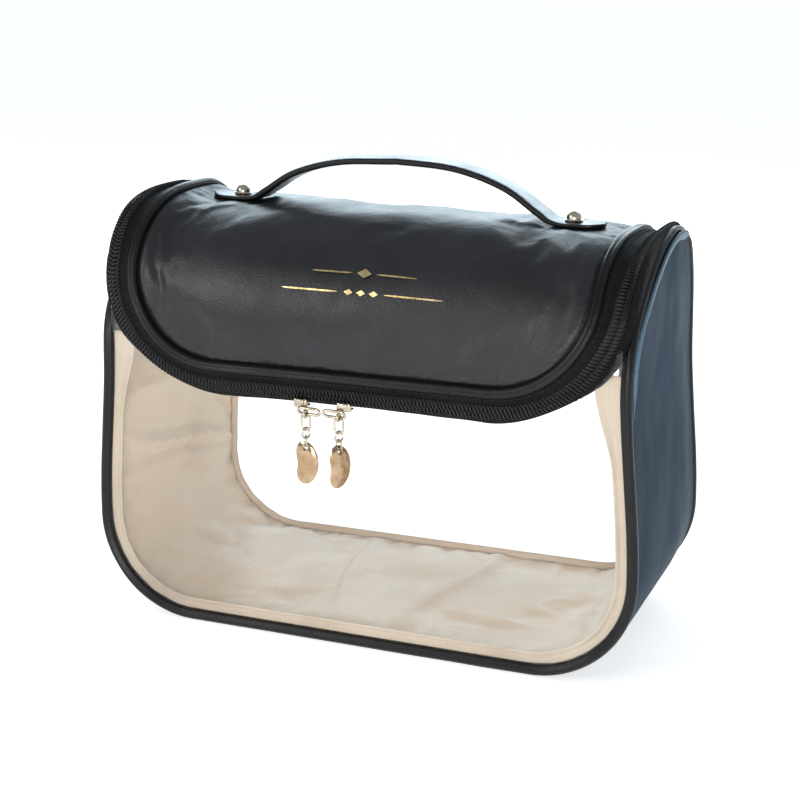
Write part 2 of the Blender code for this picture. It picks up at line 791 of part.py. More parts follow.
def slider(group, cutters, side):
    """Front plate, lower lip under the coil, and a lug with an eye for the ring."""
    place = (SLIDER_X[side], EYE_Y, EYE_Z)
    outline = (
        (0.0, SLIDER_FRONT, SLIDER_TOP), (0.0, SLIDER_PLATE_BACK, SLIDER_TOP),
        (0.0, SLIDER_PLATE_BACK, SLIDER_LIP_TOP), (0.0, SLIDER_LIP_BACK, SLIDER_LIP_TOP),
        (0.0, SLIDER_LIP_BACK, SLIDER_LOW), (0.0, SLIDER_FRONT, SLIDER_LOW),
    )
    mesh = pushed_out("slider_" + side, outline, Vector((SLIDER_LENGTH, 0.0, 0.0)))
    item = add(group, mesh, "slider_" + side, pale_gold())
    item.location = place
    angles = [math.pi + math.pi * i / ROUND_STEPS for i in range(ROUND_STEPS + 1)]
    round_end = [(0.0, EYE_RADIUS * math.cos(a), EYE_RADIUS * math.sin(a)) for a in angles]
    top = (SLIDER_LOW + SLIDER_LIP_TOP) / 2
    shoulder = [(0.0, EYE_RADIUS * 0.4, top), (0.0, -EYE_RADIUS * 0.3, top)]
    mesh = pushed_out("lug_" + side, round_end + shoulder, Vector((EYE_THICKNESS, 0.0, 0.0)))
    join = item.modifiers.new("lug", "BOOLEAN")
    join.operation = "UNION"
    join.object = cutter(cutters, "lug_" + side, mesh, place)
    hole = round_bar("eye_" + side, EYE_HOLE, 4 * EYE_THICKNESS, "Y")
    cut = item.modifiers.new("eye", "BOOLEAN")
    cut.object = cutter(cutters, "eye_" + side, hole, place)
    return item


def bean_outline():
    """Kidney outline (x, y, z) with its middle at the origin."""
    points = []
    for i in range(24):
        angle = 2 * math.pi * i / 24
        x = BEAN_HALF_WIDTH * math.cos(angle)
        z = BEAN_HEIGHT / 2 * math.sin(angle)
        dent = 0.0017 * math.exp(-((z + 0.0005) / 0.0034) ** 2) if x < 0 else 0.0
        bend = 0.0014 * math.cos(angle) ** 2 - 0.0010
        points.append((x + dent + bend, 0.0, z))
    return points


def bean(group, cutters, side, hole_z):
    """Kidney-shaped drop with a hole near its top."""
    drop = BEAN_HEIGHT / 2 - BEAN_HOLE_DEPTH
    outline = [(x, y, z - drop) for x, y, z in bean_outline()]
    mesh = pushed_out("bean_" + side, outline, Vector((0.0, BEAN_THICKNESS, 0.0)))
    item = add(group, mesh, "bean_" + side, material("rose_gold", (0.72, 0.52, 0.38), 0.12, metallic=1.0))
    item.location = (SLIDER_X[side], EYE_Y, hole_z)
    item.rotation_euler = (0.0, 0.0, math.radians(BEAN_TURN[side]))
    edge = item.modifiers.new("chamfer", "BEVEL")
    edge.width = BEAN_CHAMFER
    edge.segments = 1
    edge.limit_method = "ANGLE"
    edge.angle_limit = math.radians(60)
    bar = round_bar("bean_hole_" + side, BEAN_HOLE, 4 * BEAN_THICKNESS, "X")
    hole = cutter(cutters, "bean_hole_" + side, bar, item.location)
    hole.rotation_euler = item.rotation_euler
    cut = item.modifiers.new("hole", "BOOLEAN")
    cut.object = hole
    return item


def pull(group, cutters, side):
    """Slider, oval ring, two chain links and bean, hanging in a line, each on its joint's axis."""
    x = SLIDER_X[side]
    body = slider(group, cutters, side)
    ring_top = EYE_Z - 0.0003
    upper_top = ring_top - RING_HEIGHT + RING_WIRE + LINK_WIRE + LINK_PLAY
    lower_top = upper_top - LINK_HEIGHT + 2 * LINK_WIRE + LINK_PLAY
    hole_z = lower_top - LINK_HEIGHT - 0.0004
    ring = hung_ring(group, "pull_ring_" + side, (x, EYE_Y, ring_top), 0,
                     RING_HALF_WIDTH, RING_HEIGHT, RING_WIRE)
    upper = hung_ring(group, "upper_link_" + side, (x, EYE_Y, upper_top), UPPER_LINK_TURN,
                      LINK_HALF_WIDTH, LINK_HEIGHT, LINK_WIRE)
    lower = hung_ring(group, "lower_link_" + side, (x, EYE_Y, lower_top), LOWER_LINK_TURN[side],
                      LINK_HALF_WIDTH, LINK_HEIGHT, LINK_WIRE)
    drop = bean(group, cutters, side, hole_z)
    on_axis(group, "slider_axis_" + side, (x, EYE_Y, EYE_Z), [body])
    on_axis(group, "ring_axis_" + side, (x, EYE_Y, ring_top), [ring])
    on_axis(group, "upper_link_axis_" + side, (x, EYE_Y, ring_top - RING_HEIGHT), [upper])
    on_axis(group, "lower_link_axis_" + side, (x, EYE_Y, upper_top - LINK_HEIGHT), [lower])
    on_axis(group, "bean_axis_" + side, (x, EYE_Y, hole_z), [drop])


def on_axis(group, name, place, items):
    """An empty on a joint's axis, as the parent of the pieces that move about it."""
    axis = bpy.data.objects.new(name, None)
    axis.location = place
    group.objects.link(axis)
    for item in items:
        item.parent = axis
        item.matrix_parent_inverse = Matrix.Translation(place).inverted()


LID_PIECES = (
    "lid_leather", "lid_foam", "lid_lining", "lid_piping", "lid_zipper_tape", "lid_zipper_coil",
    "handle_strap", "handle_stud_left", "handle_stud_right", "stud_washer_left", "stud_washer_right",
)


def build():
    clear_scene()
    group = collection("makeup_bag")
    cutters = collection("cutters")
    stud_holes = post_hole_cutters(cutters)
    gusset(group)
    windows(group)
    body_pipings(group)
    bindings(group)
    back_yoke(group)
    under_lid = lid(group, stud_holes)
    zipper(group)
    handle(group, stud_holes, under_lid)
    for side in SLIDER_X:
        pull(group, cutters, side)
    hinge = (0.0, HINGE_Y, arch_z(HINGE_Y))
    on_axis(group, "lid_hinge_axis", hinge, [group.objects[name] for name in LID_PIECES])


build()
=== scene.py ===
"""Looks of a clear-sided travel makeup bag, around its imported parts. Metres, in the part's own frame."""

import math

import bmesh
import bpy
import numpy as np
from mathutils import Matrix, Vector, noise
from mathutils.bvhtree import BVHTree


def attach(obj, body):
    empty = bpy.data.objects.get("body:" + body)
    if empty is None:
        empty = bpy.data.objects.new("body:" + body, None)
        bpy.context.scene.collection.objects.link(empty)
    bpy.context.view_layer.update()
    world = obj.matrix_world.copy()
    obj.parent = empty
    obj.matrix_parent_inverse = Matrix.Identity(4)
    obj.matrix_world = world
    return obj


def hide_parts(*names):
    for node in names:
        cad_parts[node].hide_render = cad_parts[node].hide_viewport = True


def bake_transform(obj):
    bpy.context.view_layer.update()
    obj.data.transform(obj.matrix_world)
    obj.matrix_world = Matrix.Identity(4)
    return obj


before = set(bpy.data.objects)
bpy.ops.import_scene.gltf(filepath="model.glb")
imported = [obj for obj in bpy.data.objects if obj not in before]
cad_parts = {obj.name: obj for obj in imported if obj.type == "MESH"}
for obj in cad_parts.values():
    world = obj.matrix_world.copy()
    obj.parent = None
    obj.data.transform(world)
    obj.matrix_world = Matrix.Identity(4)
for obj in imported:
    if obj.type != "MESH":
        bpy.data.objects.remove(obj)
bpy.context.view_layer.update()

# Body, as in the part's source
HALF_WIDTH = 0.1150
TOP_HALF_WIDTH = 0.1100
CORNER_RADIUS = 0.0420
TAPER_TOP = 0.120
SEAM_Y = 0.0530
CORD = 0.0022  # radius of the body's piping
GAP = 0.0003
GUSSET_EDGE = (
    (-SEAM_Y, 0.100), (-0.0522, 0.122), (-0.0450, 0.1350), (-0.0280, 0.1455), (-0.0070, 0.1550),
    (0.0100, 0.1590), (0.0230, 0.1588), (0.0335, 0.1562), (0.0426, 0.1500), (0.0500, 0.1370),
    (0.0528, 0.1200), (SEAM_Y, 0.100),
)
TIP_FRONT = 0.0200
TIP_BACK = 0.0370
LEATHER = 0.0012
LINING_INSET = 0.0055
LINING_THICKNESS = 0.0006
YOKE_LOW_Z = 0.1260
BINDING_SEEN = 0.0040
BINDING_Y = 0.05205
BINDING_THICKNESS = 0.0008
FRONT_BINDING_TOP = 0.1205
FILM_THICKNESS = 0.0005
TIP_DROP = 0.0006

# Lid
ARCH_BASE = 0.108
ARCH_RISE = 0.0590
FRONT_REACH = 0.0580
BACK_REACH = 0.0535
FRONT_POWER = 2.7
BACK_POWER = 2.8
SHOULDER_Z = 0.150
LID_HALF_WIDTH = 0.0930
LID_CORNER = 0.0360
LID_EDGE_Z = 0.1135
LID_CORD = 0.0021
EDGE_LIFT = 0.0050
EDGE_LIFT_START = 0.0855
PAD_LIFT_START = 0.0800
EDGE_STEP = 0.0012
HINGE_GAP = 0.0006
RIGHT_LIFT = -0.0006
HINGE_Y = 0.0380
LID_DEPTH = 0.0060

# Zipper
COIL_SPACING = 0.0029
COIL_REACH_FRONT = 0.00855
COIL_REACH_TOP = 0.0115
PANEL_TOP_Z = 0.1010
PANEL_STRAIGHT = 0.0450
PANEL_RISE = 0.0305
PANEL_END_X = 0.1050
COIL_SHORT = 0.0090
TAPE_SHORT = 0.0022
CORD_SHORT = 0.0040
TOOTH_PITCH = 0.0015
COIL_HALF_WIDTH = 0.00155
COIL_HALF_HEIGHT = 0.00105
COIL_WIRE = 0.00042
COIL_CORE = (0.0016, 0.0003)
TAPE_THICKNESS = 0.0006
TAPE_WRAP = 0.0085  # how far the body's tape runs on past the hinge, to close the rear corner
STITCH_RADIUS = 0.00022

# Handle
STUD_X = 0.0720
TAB_END_X = 0.0845
TAB_MIDDLE_X = 0.0752
TAB_REACH = (0.0105, 0.0080)  # half of the flat patch under a tab, along X and over the arch
STRAP_HALF_WIDTH = 0.0075
STRAP_THICKNESS = 0.0028
HANDLE_RISE = 0.0185

# Pulls
PULL_X = {"left": -0.0165, "right": -0.0025}
ARM_SIDE = {"left": 1, "right": -1}
EYE_Y = -0.0592
EYE_Z = 0.0963
RING_HALF_WIDTH = 0.0018
RING_HEIGHT = 0.0061
RING_WIRE = 0.00045
LINK_HALF_WIDTH = 0.00165
LINK_HEIGHT = 0.0042
LINK_WIRE = 0.00040
LINK_RADIUS = 0.00038
LINK_PLAY = 0.00012
BEAN_HALF_WIDTH = 0.0050
BEAN_HEIGHT = 0.0174
BEAN_SIDES = 64
BEAN_HOLE = 0.00105
BEAN_HOLE_DROP = 0.0024  # the hole's centre under the bean's top
BEAN_TURN = {"left": 0, "right": 55}
LINK_TURN = {"left": -60, "right": -30}


# ---------------------------------------------------------------- colours and finishes

def srgb(red, green, blue):
    def linear(value):
        value /= 255
        return value / 12.92 if value <= 0.04045 else ((value + 0.055) / 1.055) ** 2.4
    return (linear(red), linear(green), linear(blue), 1.0)


NOISE_LOW = 0.3  # nearly all of a noise's values lie between these
NOISE_HIGH = 0.7


class Finish:
    """A Principled material and the texture nodes that feed it, in the object's own coordinates."""

    def __init__(self, name, **values):
        self.material = bpy.data.materials.new(name)
        self.material.use_nodes = True
        self.tree = self.material.node_tree
        self.shader = self.tree.nodes["Principled BSDF"]
        self.place = self.tree.nodes.new("ShaderNodeTexCoord").outputs["Object"]
        self.relief = None
        for key, value in values.items():
            self.shader.inputs[key.replace("_", " ")].default_value = value

    def node(self, kind, **settings):
        made = self.tree.nodes.new("ShaderNode" + kind)
        for key, value in settings.items():
            if key in made.inputs:
                made.inputs[key].default_value = value
            else:
                setattr(made, key, value)
        return made

    def stretched(self, *scale):
        mapping = self.node("Mapping")
        mapping.inputs["Scale"].default_value = scale
        self.tree.links.new(self.place, mapping.inputs["Vector"])
        return mapping.outputs["Vector"]

    def noise(self, scale, detail=3.0, place=None, distortion=0.0):
        made = self.node("TexNoise", Scale=scale, Detail=detail, Distortion=distortion)
        self.tree.links.new(place or self.place, made.inputs["Vector"])
        return made.outputs["Fac"]

    def cells(self, scale):
        made = self.node("TexVoronoi", feature="SMOOTH_F1", Scale=scale, Smoothness=0.6)
        self.tree.links.new(self.place, made.inputs["Vector"])
        return made.outputs["Distance"]

    def threads(self, direction, period, distortion=0.4):
        """Fine parallel threads, that far apart."""
        made = self.node("TexWave", bands_direction=direction, Scale=2 * math.pi / (20 * period),
                         Distortion=distortion, Detail=1.0)
        self.tree.links.new(self.place, made.inputs["Vector"])
        return made.outputs["Fac"]

    def multiply(self, a, b):
        made = self.node("Math", operation="MULTIPLY")
        self.tree.links.new(a, made.inputs[0])
        self.tree.links.new(b, made.inputs[1])
        return made.outputs["Value"]

    def ranged(self, source, low, high):
        made = self.node("MapRange")
        ends = {"From Min": NOISE_LOW, "From Max": NOISE_HIGH, "To Min": low, "To Max": high}
        for key, value in ends.items():
            made.inputs[key].default_value = value
        self.tree.links.new(source, made.inputs["Value"])
        return made.outputs["Result"]

    def colour(self, source, *stops):
        """The base colour runs through the stops as the source rises."""
        ramp = self.node("ValToRGB")
        points = ramp.color_ramp.elements
        while len(points) < len(stops):
            points.new(0.5)
        for i, stop in enumerate(stops):
            points[i].position = NOISE_LOW + (NOISE_HIGH - NOISE_LOW) * i / (len(stops) - 1)
            points[i].color = stop
        self.tree.links.new(source, ramp.inputs["Fac"])
        self.tree.links.new(ramp.outputs["Color"], self.shader.inputs["Base Color"])
        return ramp.outputs["Color"]

    def shaded(self, colour, source, low, high):
        """The colour made darker where the source is low."""
        made = self.node("Mix", data_type="RGBA", blend_type="MULTIPLY")
        made.inputs[0].default_value = 1.0
        self.tree.links.new(colour, made.inputs[6])
        self.tree.links.new(self.ranged(source, low, high), made.inputs[7])
        self.tree.links.new(made.outputs[2], self.shader.inputs["Base Color"])

    def vary(self, socket, source, low, high):
        self.tree.links.new(self.ranged(source, low, high), self.shader.inputs[socket])

    def raised(self, source, depth):
        """Relief of that depth in metres, on top of what is there already."""
        made = self.node("Bump", Strength=1.0, Distance=depth)
        self.tree.links.new(source, made.inputs["Height"])
        if self.relief:
            self.tree.links.new(self.relief, made.inputs["Normal"])
        self.relief = made.outputs["Normal"]
        self.tree.links.new(self.relief, self.shader.inputs["Normal"])


def leather(name, dark, light, rough, shine=0.5, grain=0.00006):
    """Coated leather: pebble grain, soft creases, cloudy colour and sheen."""
    made = Finish(name, Specular_IOR_Level=shine)
    cloudy = made.noise(26, 4.0)
    made.shaded(made.colour(cloudy, dark, light), made.noise(900, 2.0), 0.82, 1.1)
    made.vary("Roughness", made.noise(42, 5.0, made.stretched(1.0, 1.0, 0.45)), rough - 0.07, rough + 0.08)
    made.raised(made.noise(60, 4.0, distortion=0.6), 0.00045)
    made.raised(made.cells(1150), grain)
    made.raised(made.noise(2600, 2.0), grain * 0.4)
    return made.material


def satin(name, *stops):
    """Thin woven lining with a soft sheen and fine creases; painted shade darkens the grooves of its weave.
    """
    made = Finish(name, Specular_IOR_Level=0.4, Sheen_Weight=0.25, Sheen_Roughness=0.4)
    thread_relief_and_shade = made.multiply(made.threads("Y", 0.00042), made.threads("DIAGONAL", 0.00050))
    # The weave darkens the colour in its own grooves: painted shade.
    made.shaded(made.colour(made.noise(17, 5.0, distortion=0.4), *stops), thread_relief_and_shade, 0.93, 1.03)
    made.vary("Roughness", made.noise(60, 3.0), 0.42, 0.60)
    made.raised(made.noise(75, 6.0, made.stretched(1.0, 0.5, 1.0), distortion=1.2), 0.0007)
    made.raised(thread_relief_and_shade, 0.00005)
    return made.material


def webbing(name, dark, light, period):
    """Ribbed woven tape, with painted shade in the grooves of its weave."""
    made = Finish(name, Specular_IOR_Level=0.2)
    thread_relief_and_shade = made.multiply(made.threads("DIAGONAL", period, 0.8), made.threads("X", period * 1.3, 0.8))
    # The weave darkens the colour in its own grooves: painted shade.
    made.shaded(made.colour(made.noise(45, 5.0), dark, light), thread_relief_and_shade, 0.72, 1.15)
    made.vary("Roughness", made.noise(400, 2.0), 0.77, 0.91)
    made.raised(thread_relief_and_shade, period * 0.25)
    made.raised(made.noise(260, 3.0), 0.0001)
    return made.material


def nylon(name, dark, light, rough):
    """Moulded or drawn filament."""
    made = Finish(name, Specular_IOR_Level=0.4)
    made.colour(made.noise(240, 3.0), dark, light)
    made.vary("Roughness", made.noise(800, 3.0), rough - 0.08, rough + 0.12)
    made.raised(made.noise(1800, 3.0), 0.00003)
    return made.material


def plated(name, dark, light, rough):
    """Plated metal: fine brushing and small tarnish clouds."""
    made = Finish(name, Metallic=1.0)
    made.colour(made.noise(210, 4.0), dark, light)
    made.vary("Roughness", made.noise(620, 4.0), rough * 0.6, rough * 1.5)
    made.raised(made.noise(420, 3.0), 0.00006)
    made.raised(made.noise(2400, 2.0, made.stretched(1.0, 1.0, 0.12)), 0.000012)
    return made.material


def clear(name):
    """Clear film: a thin mirror by its Fresnel share, with faint haze and a slow wave."""
    made = Finish(name, Metallic=1.0)
    made.colour(made.noise(30, 3.0), (0.90, 0.92, 0.95, 1.0), (0.99, 0.99, 1.0, 1.0))
    made.vary("Roughness", made.noise(90, 4.0), 0.02, 0.10)
    slope = made.node("LayerWeight", Blend=0.5)
    steep = made.node("Math", operation="POWER")
    steep.inputs[1].default_value = 4.0
    made.tree.links.new(slope.outputs["Facing"], steep.inputs[0])
    mirror = made.node("Math", operation="MULTIPLY_ADD")
    mirror.inputs[1].default_value = 0.7
    made.tree.links.new(steep.outputs["Value"], mirror.inputs[0])
    made.tree.links.new(made.ranged(made.noise(22, 3.0), 0.015, 0.040), mirror.inputs[2])
    made.tree.links.new(mirror.outputs["Value"], made.shader.inputs["Alpha"])
    made.raised(made.noise(26, 2.0), 0.00025)
    return made.material


LID_LEATHER = leather("lid_leather_finish", srgb(20, 20, 23), srgb(31, 31, 36), 0.40)
YOKE_LEATHER = leather("yoke_leather_finish", srgb(20, 20, 23), srgb(30, 30, 34), 0.42)
# Gusset leather: dark leather whose slate-blue tint is partly a painted reflection of the bluish light.
GUSSET_LEATHER_PAINTED_REFLECTION = leather("gusset_leather_painted_reflection_finish", srgb(17, 44, 63), srgb(28, 57, 77), 0.58, 0.12)
# Pale blue for the gusset's turned edge: painted highlight of the bluish light on the dark leather.
HEM_PAINTED_HIGHLIGHT = leather("hem_painted_highlight_finish", srgb(72, 98, 118), srgb(96, 122, 142), 0.45, 0.40, 0.00003)
# Strap leather: dark leather whose blue-grey tint is partly a painted reflection of the bluish back light.
PAINTED_REFLECTION_STRAP = leather("painted_reflection_strap_finish", srgb(38, 52, 64), srgb(54, 70, 83), 0.34, 0.6, 0.00003)
CORD_LEATHER = leather("cord_leather_finish", srgb(9, 9, 10), srgb(17, 17, 19), 0.36, 0.32, 0.00003)
LINING = satin("lining_finish", srgb(216, 194, 168), srgb(233, 214, 190), srgb(240, 223, 202))
LID_LINING = satin("lid_lining_finish", srgb(210, 190, 166), srgb(226, 208, 186), srgb(234, 217, 197))
BINDING = satin("binding_finish", srgb(184, 168, 148), srgb(206, 190, 170), srgb(216, 201, 182))
TAPE = webbing("zipper_tape_finish", srgb(13, 13, 14), srgb(24, 24, 26), 0.0008)
COIL = nylon("zipper_coil_finish", srgb(14, 14, 15), srgb(27, 27, 29), 0.5)
THREAD_BLACK = nylon("black_thread_finish", srgb(12, 12, 13), srgb(26, 26, 28), 0.7)
THREAD_BEIGE = nylon("beige_thread_finish", srgb(168, 154, 142), srgb(204, 192, 180), 0.6)
FILM = clear("film_finish")
PALE_GOLD = plated("pale_gold_finish", srgb(186, 172, 148), srgb(222, 211, 192), 0.18)
ROSE_GOLD = plated("rose_gold_finish", srgb(176, 144, 112), srgb(206, 178, 148), 0.12)
FOIL = plated("foil_finish", srgb(190, 165, 110), srgb(228, 208, 158), 0.30)


# ---------------------------------------------------------------- curves

def smooth(value):
    value = np.clip(value, 0.0, 1.0)
    return value * value * (3.0 - 2.0 * value)


def mix(low, high, share):
    return low + (high - low) * share


def unit(vectors):
    return vectors / np.maximum(np.linalg.norm(vectors, axis=-1, keepdims=True), 1e-12)


def through(points, steps):
    """Catmull-Rom curve through the points."""
    p = np.array(points, float)
    p = np.vstack([2 * p[0] - p[1], p, 2 * p[-1] - p[-2]])
    t = (np.arange(steps) / steps)[:, None]
    parts = []
    for p0, p1, p2, p3 in zip(p, p[1:], p[2:], p[3:]):
        parts.append(0.5 * (
            2 * p1 + (p2 - p0) * t + (2 * p0 - 5 * p1 + 4 * p2 - p3) * t ** 2
            + (3 * p1 - p0 - 3 * p2 + p3) * t ** 3
        ))
    return np.vstack(parts + [p[-2:-1]])


def lengths(points):
    return np.concatenate([[0.0], np.cumsum(np.linalg.norm(np.diff(points, axis=0), axis=1))])


def at(points, distances):
    """Points at those distances along a line."""
    total = lengths(points)
    return np.stack([np.interp(distances, total, points[:, k]) for k in range(points.shape[1])], axis=1)


def even(points, step):
    whole = lengths(points)[-1]
    return at(points, np.linspace(0.0, whole, max(2, round(whole / step) + 1)))


def ripple(points, scale, seed=0.0):
    """Smooth noise from about -1 to 1 at each point."""
    shift = Vector((seed, seed * 1.7, seed * 0.6))
    flat = points.reshape(-1, 3)
    return np.array([noise.noise(Vector(p) * scale + shift) for p in flat]).reshape(points.shape[:-1])


# ---------------------------------------------------------------- meshes

def settled(points):
    """The soft top leans: its left end stands higher, and the gusset's right tip comes up beside the lid."""
    x, z = points[:, 0], points[:, 2]
    lean = np.where(x < 0, mix(0.0016, 0.0032, smooth(-x / 0.100)), mix(0.0016, -0.0010, smooth(x / 0.080)))
    tip = 0.0062 * smooth((x - 0.1050) / 0.003) * smooth((z - 0.128) / 0.024)
    tip = tip + 0.0030 * smooth((-x - 0.1050) / 0.003) * smooth((z - 0.128) / 0.024)
    return points + np.stack([0 * x, 0 * x, lean * smooth((z - 0.120) / 0.040) + tip], axis=1)


def mesh_piece(name, points, faces, finish, sharp=40):
    mesh = bpy.data.meshes.new(name)
    mesh.from_pydata([tuple(p) for p in settled(points)], [], [tuple(f) for f in faces])
    mesh.materials.append(finish)
    builder = bmesh.new()
    builder.from_mesh(mesh)
    bmesh.ops.recalc_face_normals(builder, faces=builder.faces)
    builder.to_mesh(mesh)
    builder.free()
    mesh.shade_smooth()
    mesh.set_sharp_from_angle(angle=math.radians(sharp))
    item = bpy.data.objects.new(name, mesh)
    bpy.context.scene.collection.objects.link(item)
    return item


def grid_faces(rows, columns, loop=False):
    faces = []
    for i in range(rows - 1):
        for k in range(columns - 1 + loop):
            n = (k + 1) % columns
            faces.append((i * columns + k, i * columns + n, (i + 1) * columns + n, (i + 1) * columns + k))
    return faces


def grid_normals(grid):
    return unit(np.cross(np.gradient(grid, axis=0), np.gradient(grid, axis=1)))


def rim(rows, columns):
    """A grid's outline, as (its own index, its inner neighbour's index) in order."""
    first = [(i, 0) for i in range(rows - 1)] + [(rows - 1, k) for k in range(columns - 1)]
    rest = [(i, columns - 1) for i in range(rows - 1, 0, -1)] + [(0, k) for k in range(columns - 1, 0, -1)]
    found = []
    for i, k in first + rest:
        inner = min(max(i, 1), rows - 2), min(max(k, 1), columns - 2)
        found.append((i * columns + k, inner[0] * columns + inner[1]))
    return found


def closed_between(top, bottom, bulge):
    """Points and faces of the closed form between two grids, with a rounded edge."""
    rows, columns = top.shape[:2]
    count = rows * columns
    points = [top.reshape(-1, 3), bottom.reshape(-1, 3)]
    outline = rim(rows, columns)
    own, inner = np.array(outline).T
    middle = (points[0] + points[1]) / 2
    points.append(middle[own] + unit(middle[own] - middle[inner]) * bulge)
    faces = grid_faces(rows, columns)
    faces += [tuple(i + count for i in reversed(f)) for f in grid_faces(rows, columns)]
    for i in range(len(outline)):
        k = (i + 1) % len(outline)
        faces.append((own[i], own[k], 2 * count + k, 2 * count + i))
        faces.append((2 * count + i, 2 * count + k, count + own[k], count + own[i]))
    return np.vstack(points), [tuple(int(i) for i in f) for f in faces]


def shell(name, grid, thickness, finish):
    """A sheet of that thickness about a grid of points."""
    normal = grid_normals(grid) * thickness / 2
    points, faces = closed_between(grid + normal, grid - normal, thickness * 0.4)
    return mesh_piece(name, points, faces, finish, 60)


def frames(points, hint, closed=False):
    """Tangent, the hint made square to it, and their cross product, at each point of a line."""
    if closed:
        run = np.roll(points, -1, axis=0) - np.roll(points, 1, axis=0)
    else:
        run = np.gradient(points, axis=0)
    run = unit(run)
    across = unit(hint - run * (hint * run).sum(1, keepdims=True))
    return run, across, np.cross(run, across)


def sweep_mesh(points, across, normal, section, scale=None, closed=False):
    """Points and faces of a closed section, of (across, normal) corners, carried along a line."""
    scale = np.ones((len(points), 2)) if scale is None else scale
    sides = section[None, :, 0:1] * across[:, None] * scale[:, None, 0:1]
    sides = sides + section[None, :, 1:2] * normal[:, None] * scale[:, None, 1:2]
    rings = points[:, None] + sides
    rows, columns = rings.shape[:2]
    faces = grid_faces(rows, columns, loop=True)
    if closed:
        last = (rows - 1) * columns
        for k in range(columns):
            n = (k + 1) % columns
            faces.append((last + k, last + n, n, k))
    else:
        faces.append(tuple(range(columns)))
        faces.append(tuple(reversed(range((rows - 1) * columns, rows * columns))))
    return rings.reshape(-1, 3), faces


def circle(radius, sides):
    angle = 2 * np.pi * np.arange(sides) / sides
    return np.stack([np.cos(angle), np.sin(angle)], axis=1) * radius


def joined(parts):
    """Several (points, faces) as one."""
    points, faces, start = [], [], 0
    for p, f in parts:
        points.append(p)
        faces += [tuple(i + start for i in face) for face in f]
        start += len(p)
    return np.vstack(points), faces


def stitch_row(name, line, normal, finish, pitch=0.0028, length=0.0019):
    """Thread stitches along a line on a surface."""
    whole = lengths(line)[-1]
    count = int(whole / pitch)
    starts = (whole - count * pitch) / 2 + pitch * (np.arange(count) + 0.5)
    share = np.array([-0.5, -0.38, 0.0, 0.38, 0.5])
    thick = np.array([[0.3, 0.3], [0.85, 0.85], [1.0, 1.0], [0.85, 0.85], [0.3, 0.3]])
    bow = np.array([-0.6, 0.1, 0.45, 0.1, -0.6])[:, None] * STITCH_RADIUS
    parts = []
    for start in starts:
        spots = start + share * length
        points = at(line, spots)
        up = unit(at(np.hstack([line, normal]), spots)[:, 3:])
        _, across, out = frames(points, np.cross(np.gradient(points, axis=0), up))
        points = points + up * bow
        parts.append(sweep_mesh(points, across, out, circle(STITCH_RADIUS, 6), thick))
    return mesh_piece(name, *joined(parts), finish)


def simulate(item, pinned, cap, shrink, steps, pressure=0.0):
    """Cloth simulation with some points held, its result written to the mesh and held within cap of rest."""
    rest = np.array([v.co for v in item.data.vertices])
    group = item.vertex_groups.new(name="held")
    group.add([int(i) for i in pinned], 1.0, "REPLACE")
    cloth = item.modifiers.new("cloth", "CLOTH")
    settings = cloth.settings
    settings.quality = 4
    settings.mass = 0.15
    settings.tension_stiffness = 15.0
    settings.compression_stiffness = 15.0
    settings.bending_stiffness = 0.6
    settings.vertex_group_mass = "held"
    settings.use_pressure = pressure > 0
    settings.uniform_pressure_force = pressure
    settings.shrink_min = shrink
    settings.effector_weights.gravity = 0.0
    cloth.point_cache.frame_end = steps
    for step in range(1, steps + 1):
        bpy.context.scene.frame_set(step)
    solved = item.evaluated_get(bpy.context.evaluated_depsgraph_get()).data
    moved = np.array([v.co for v in solved.vertices]) - rest
    item.modifiers.remove(cloth)
    bpy.context.scene.frame_set(1)
    item.vertex_groups.clear()
    far = np.linalg.norm(moved, axis=1, keepdims=True)
    held = np.tanh(far / cap) * cap / np.maximum(far, 1e-9)
    item.data.vertices.foreach_set("co", (rest + moved * held).astype(np.float32).ravel())
    item.data.update()


def piece(item, body, slot, *nodes):
    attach(item, body)
    if nodes:
        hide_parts(*nodes)
    return item


# ---------------------------------------------------------------- body shape

def side_x(z):
    return mix(HALF_WIDTH, TOP_HALF_WIDTH, smooth((z - CORNER_RADIUS) / (TAPER_TOP - CORNER_RADIUS)))


def u_line(inset, top, step):
    """(x, z) along the gusset's section, left top to right top, inside its outer face by inset."""
    radius = CORNER_RADIUS - inset
    centre = HALF_WIDTH - CORNER_RADIUS
    base = np.arange(0.0, centre, step)
    points = [np.stack([base, np.full(len(base), inset)], axis=1)]
    angle = np.linspace(0.0, np.pi / 2, round(radius * np.pi / 2 / step))
    points.append(np.stack([centre + radius * np.sin(angle), CORNER_RADIUS - radius * np.cos(angle)], axis=1))
    z = np.linspace(CORNER_RADIUS, top, round((top - CORNER_RADIUS) / step))[1:]
    points.append(np.stack([side_x(z) - inset, z], axis=1))
    right = np.vstack(points)
    return np.vstack([right[1:][::-1] * (-1, 1), right])


def edge_profile(offset=0.0):
    """(y, z) of the gusset's upper edge, front to back, moved in by offset."""
    points = through(GUSSET_EDGE, 12)
    run = unit(np.gradient(points, axis=0))
    return points + np.stack([run[:, 1], -run[:, 0]], axis=1) * offset


def edge_y(profile, z, front):
    """y where the profile reaches a height on its front or back flank."""
    top = int(profile[:, 1].argmax())
    flank = profile[:top + 1] if front else profile[top:][::-1]
    return np.interp(z, flank[:, 1], flank[:, 0])


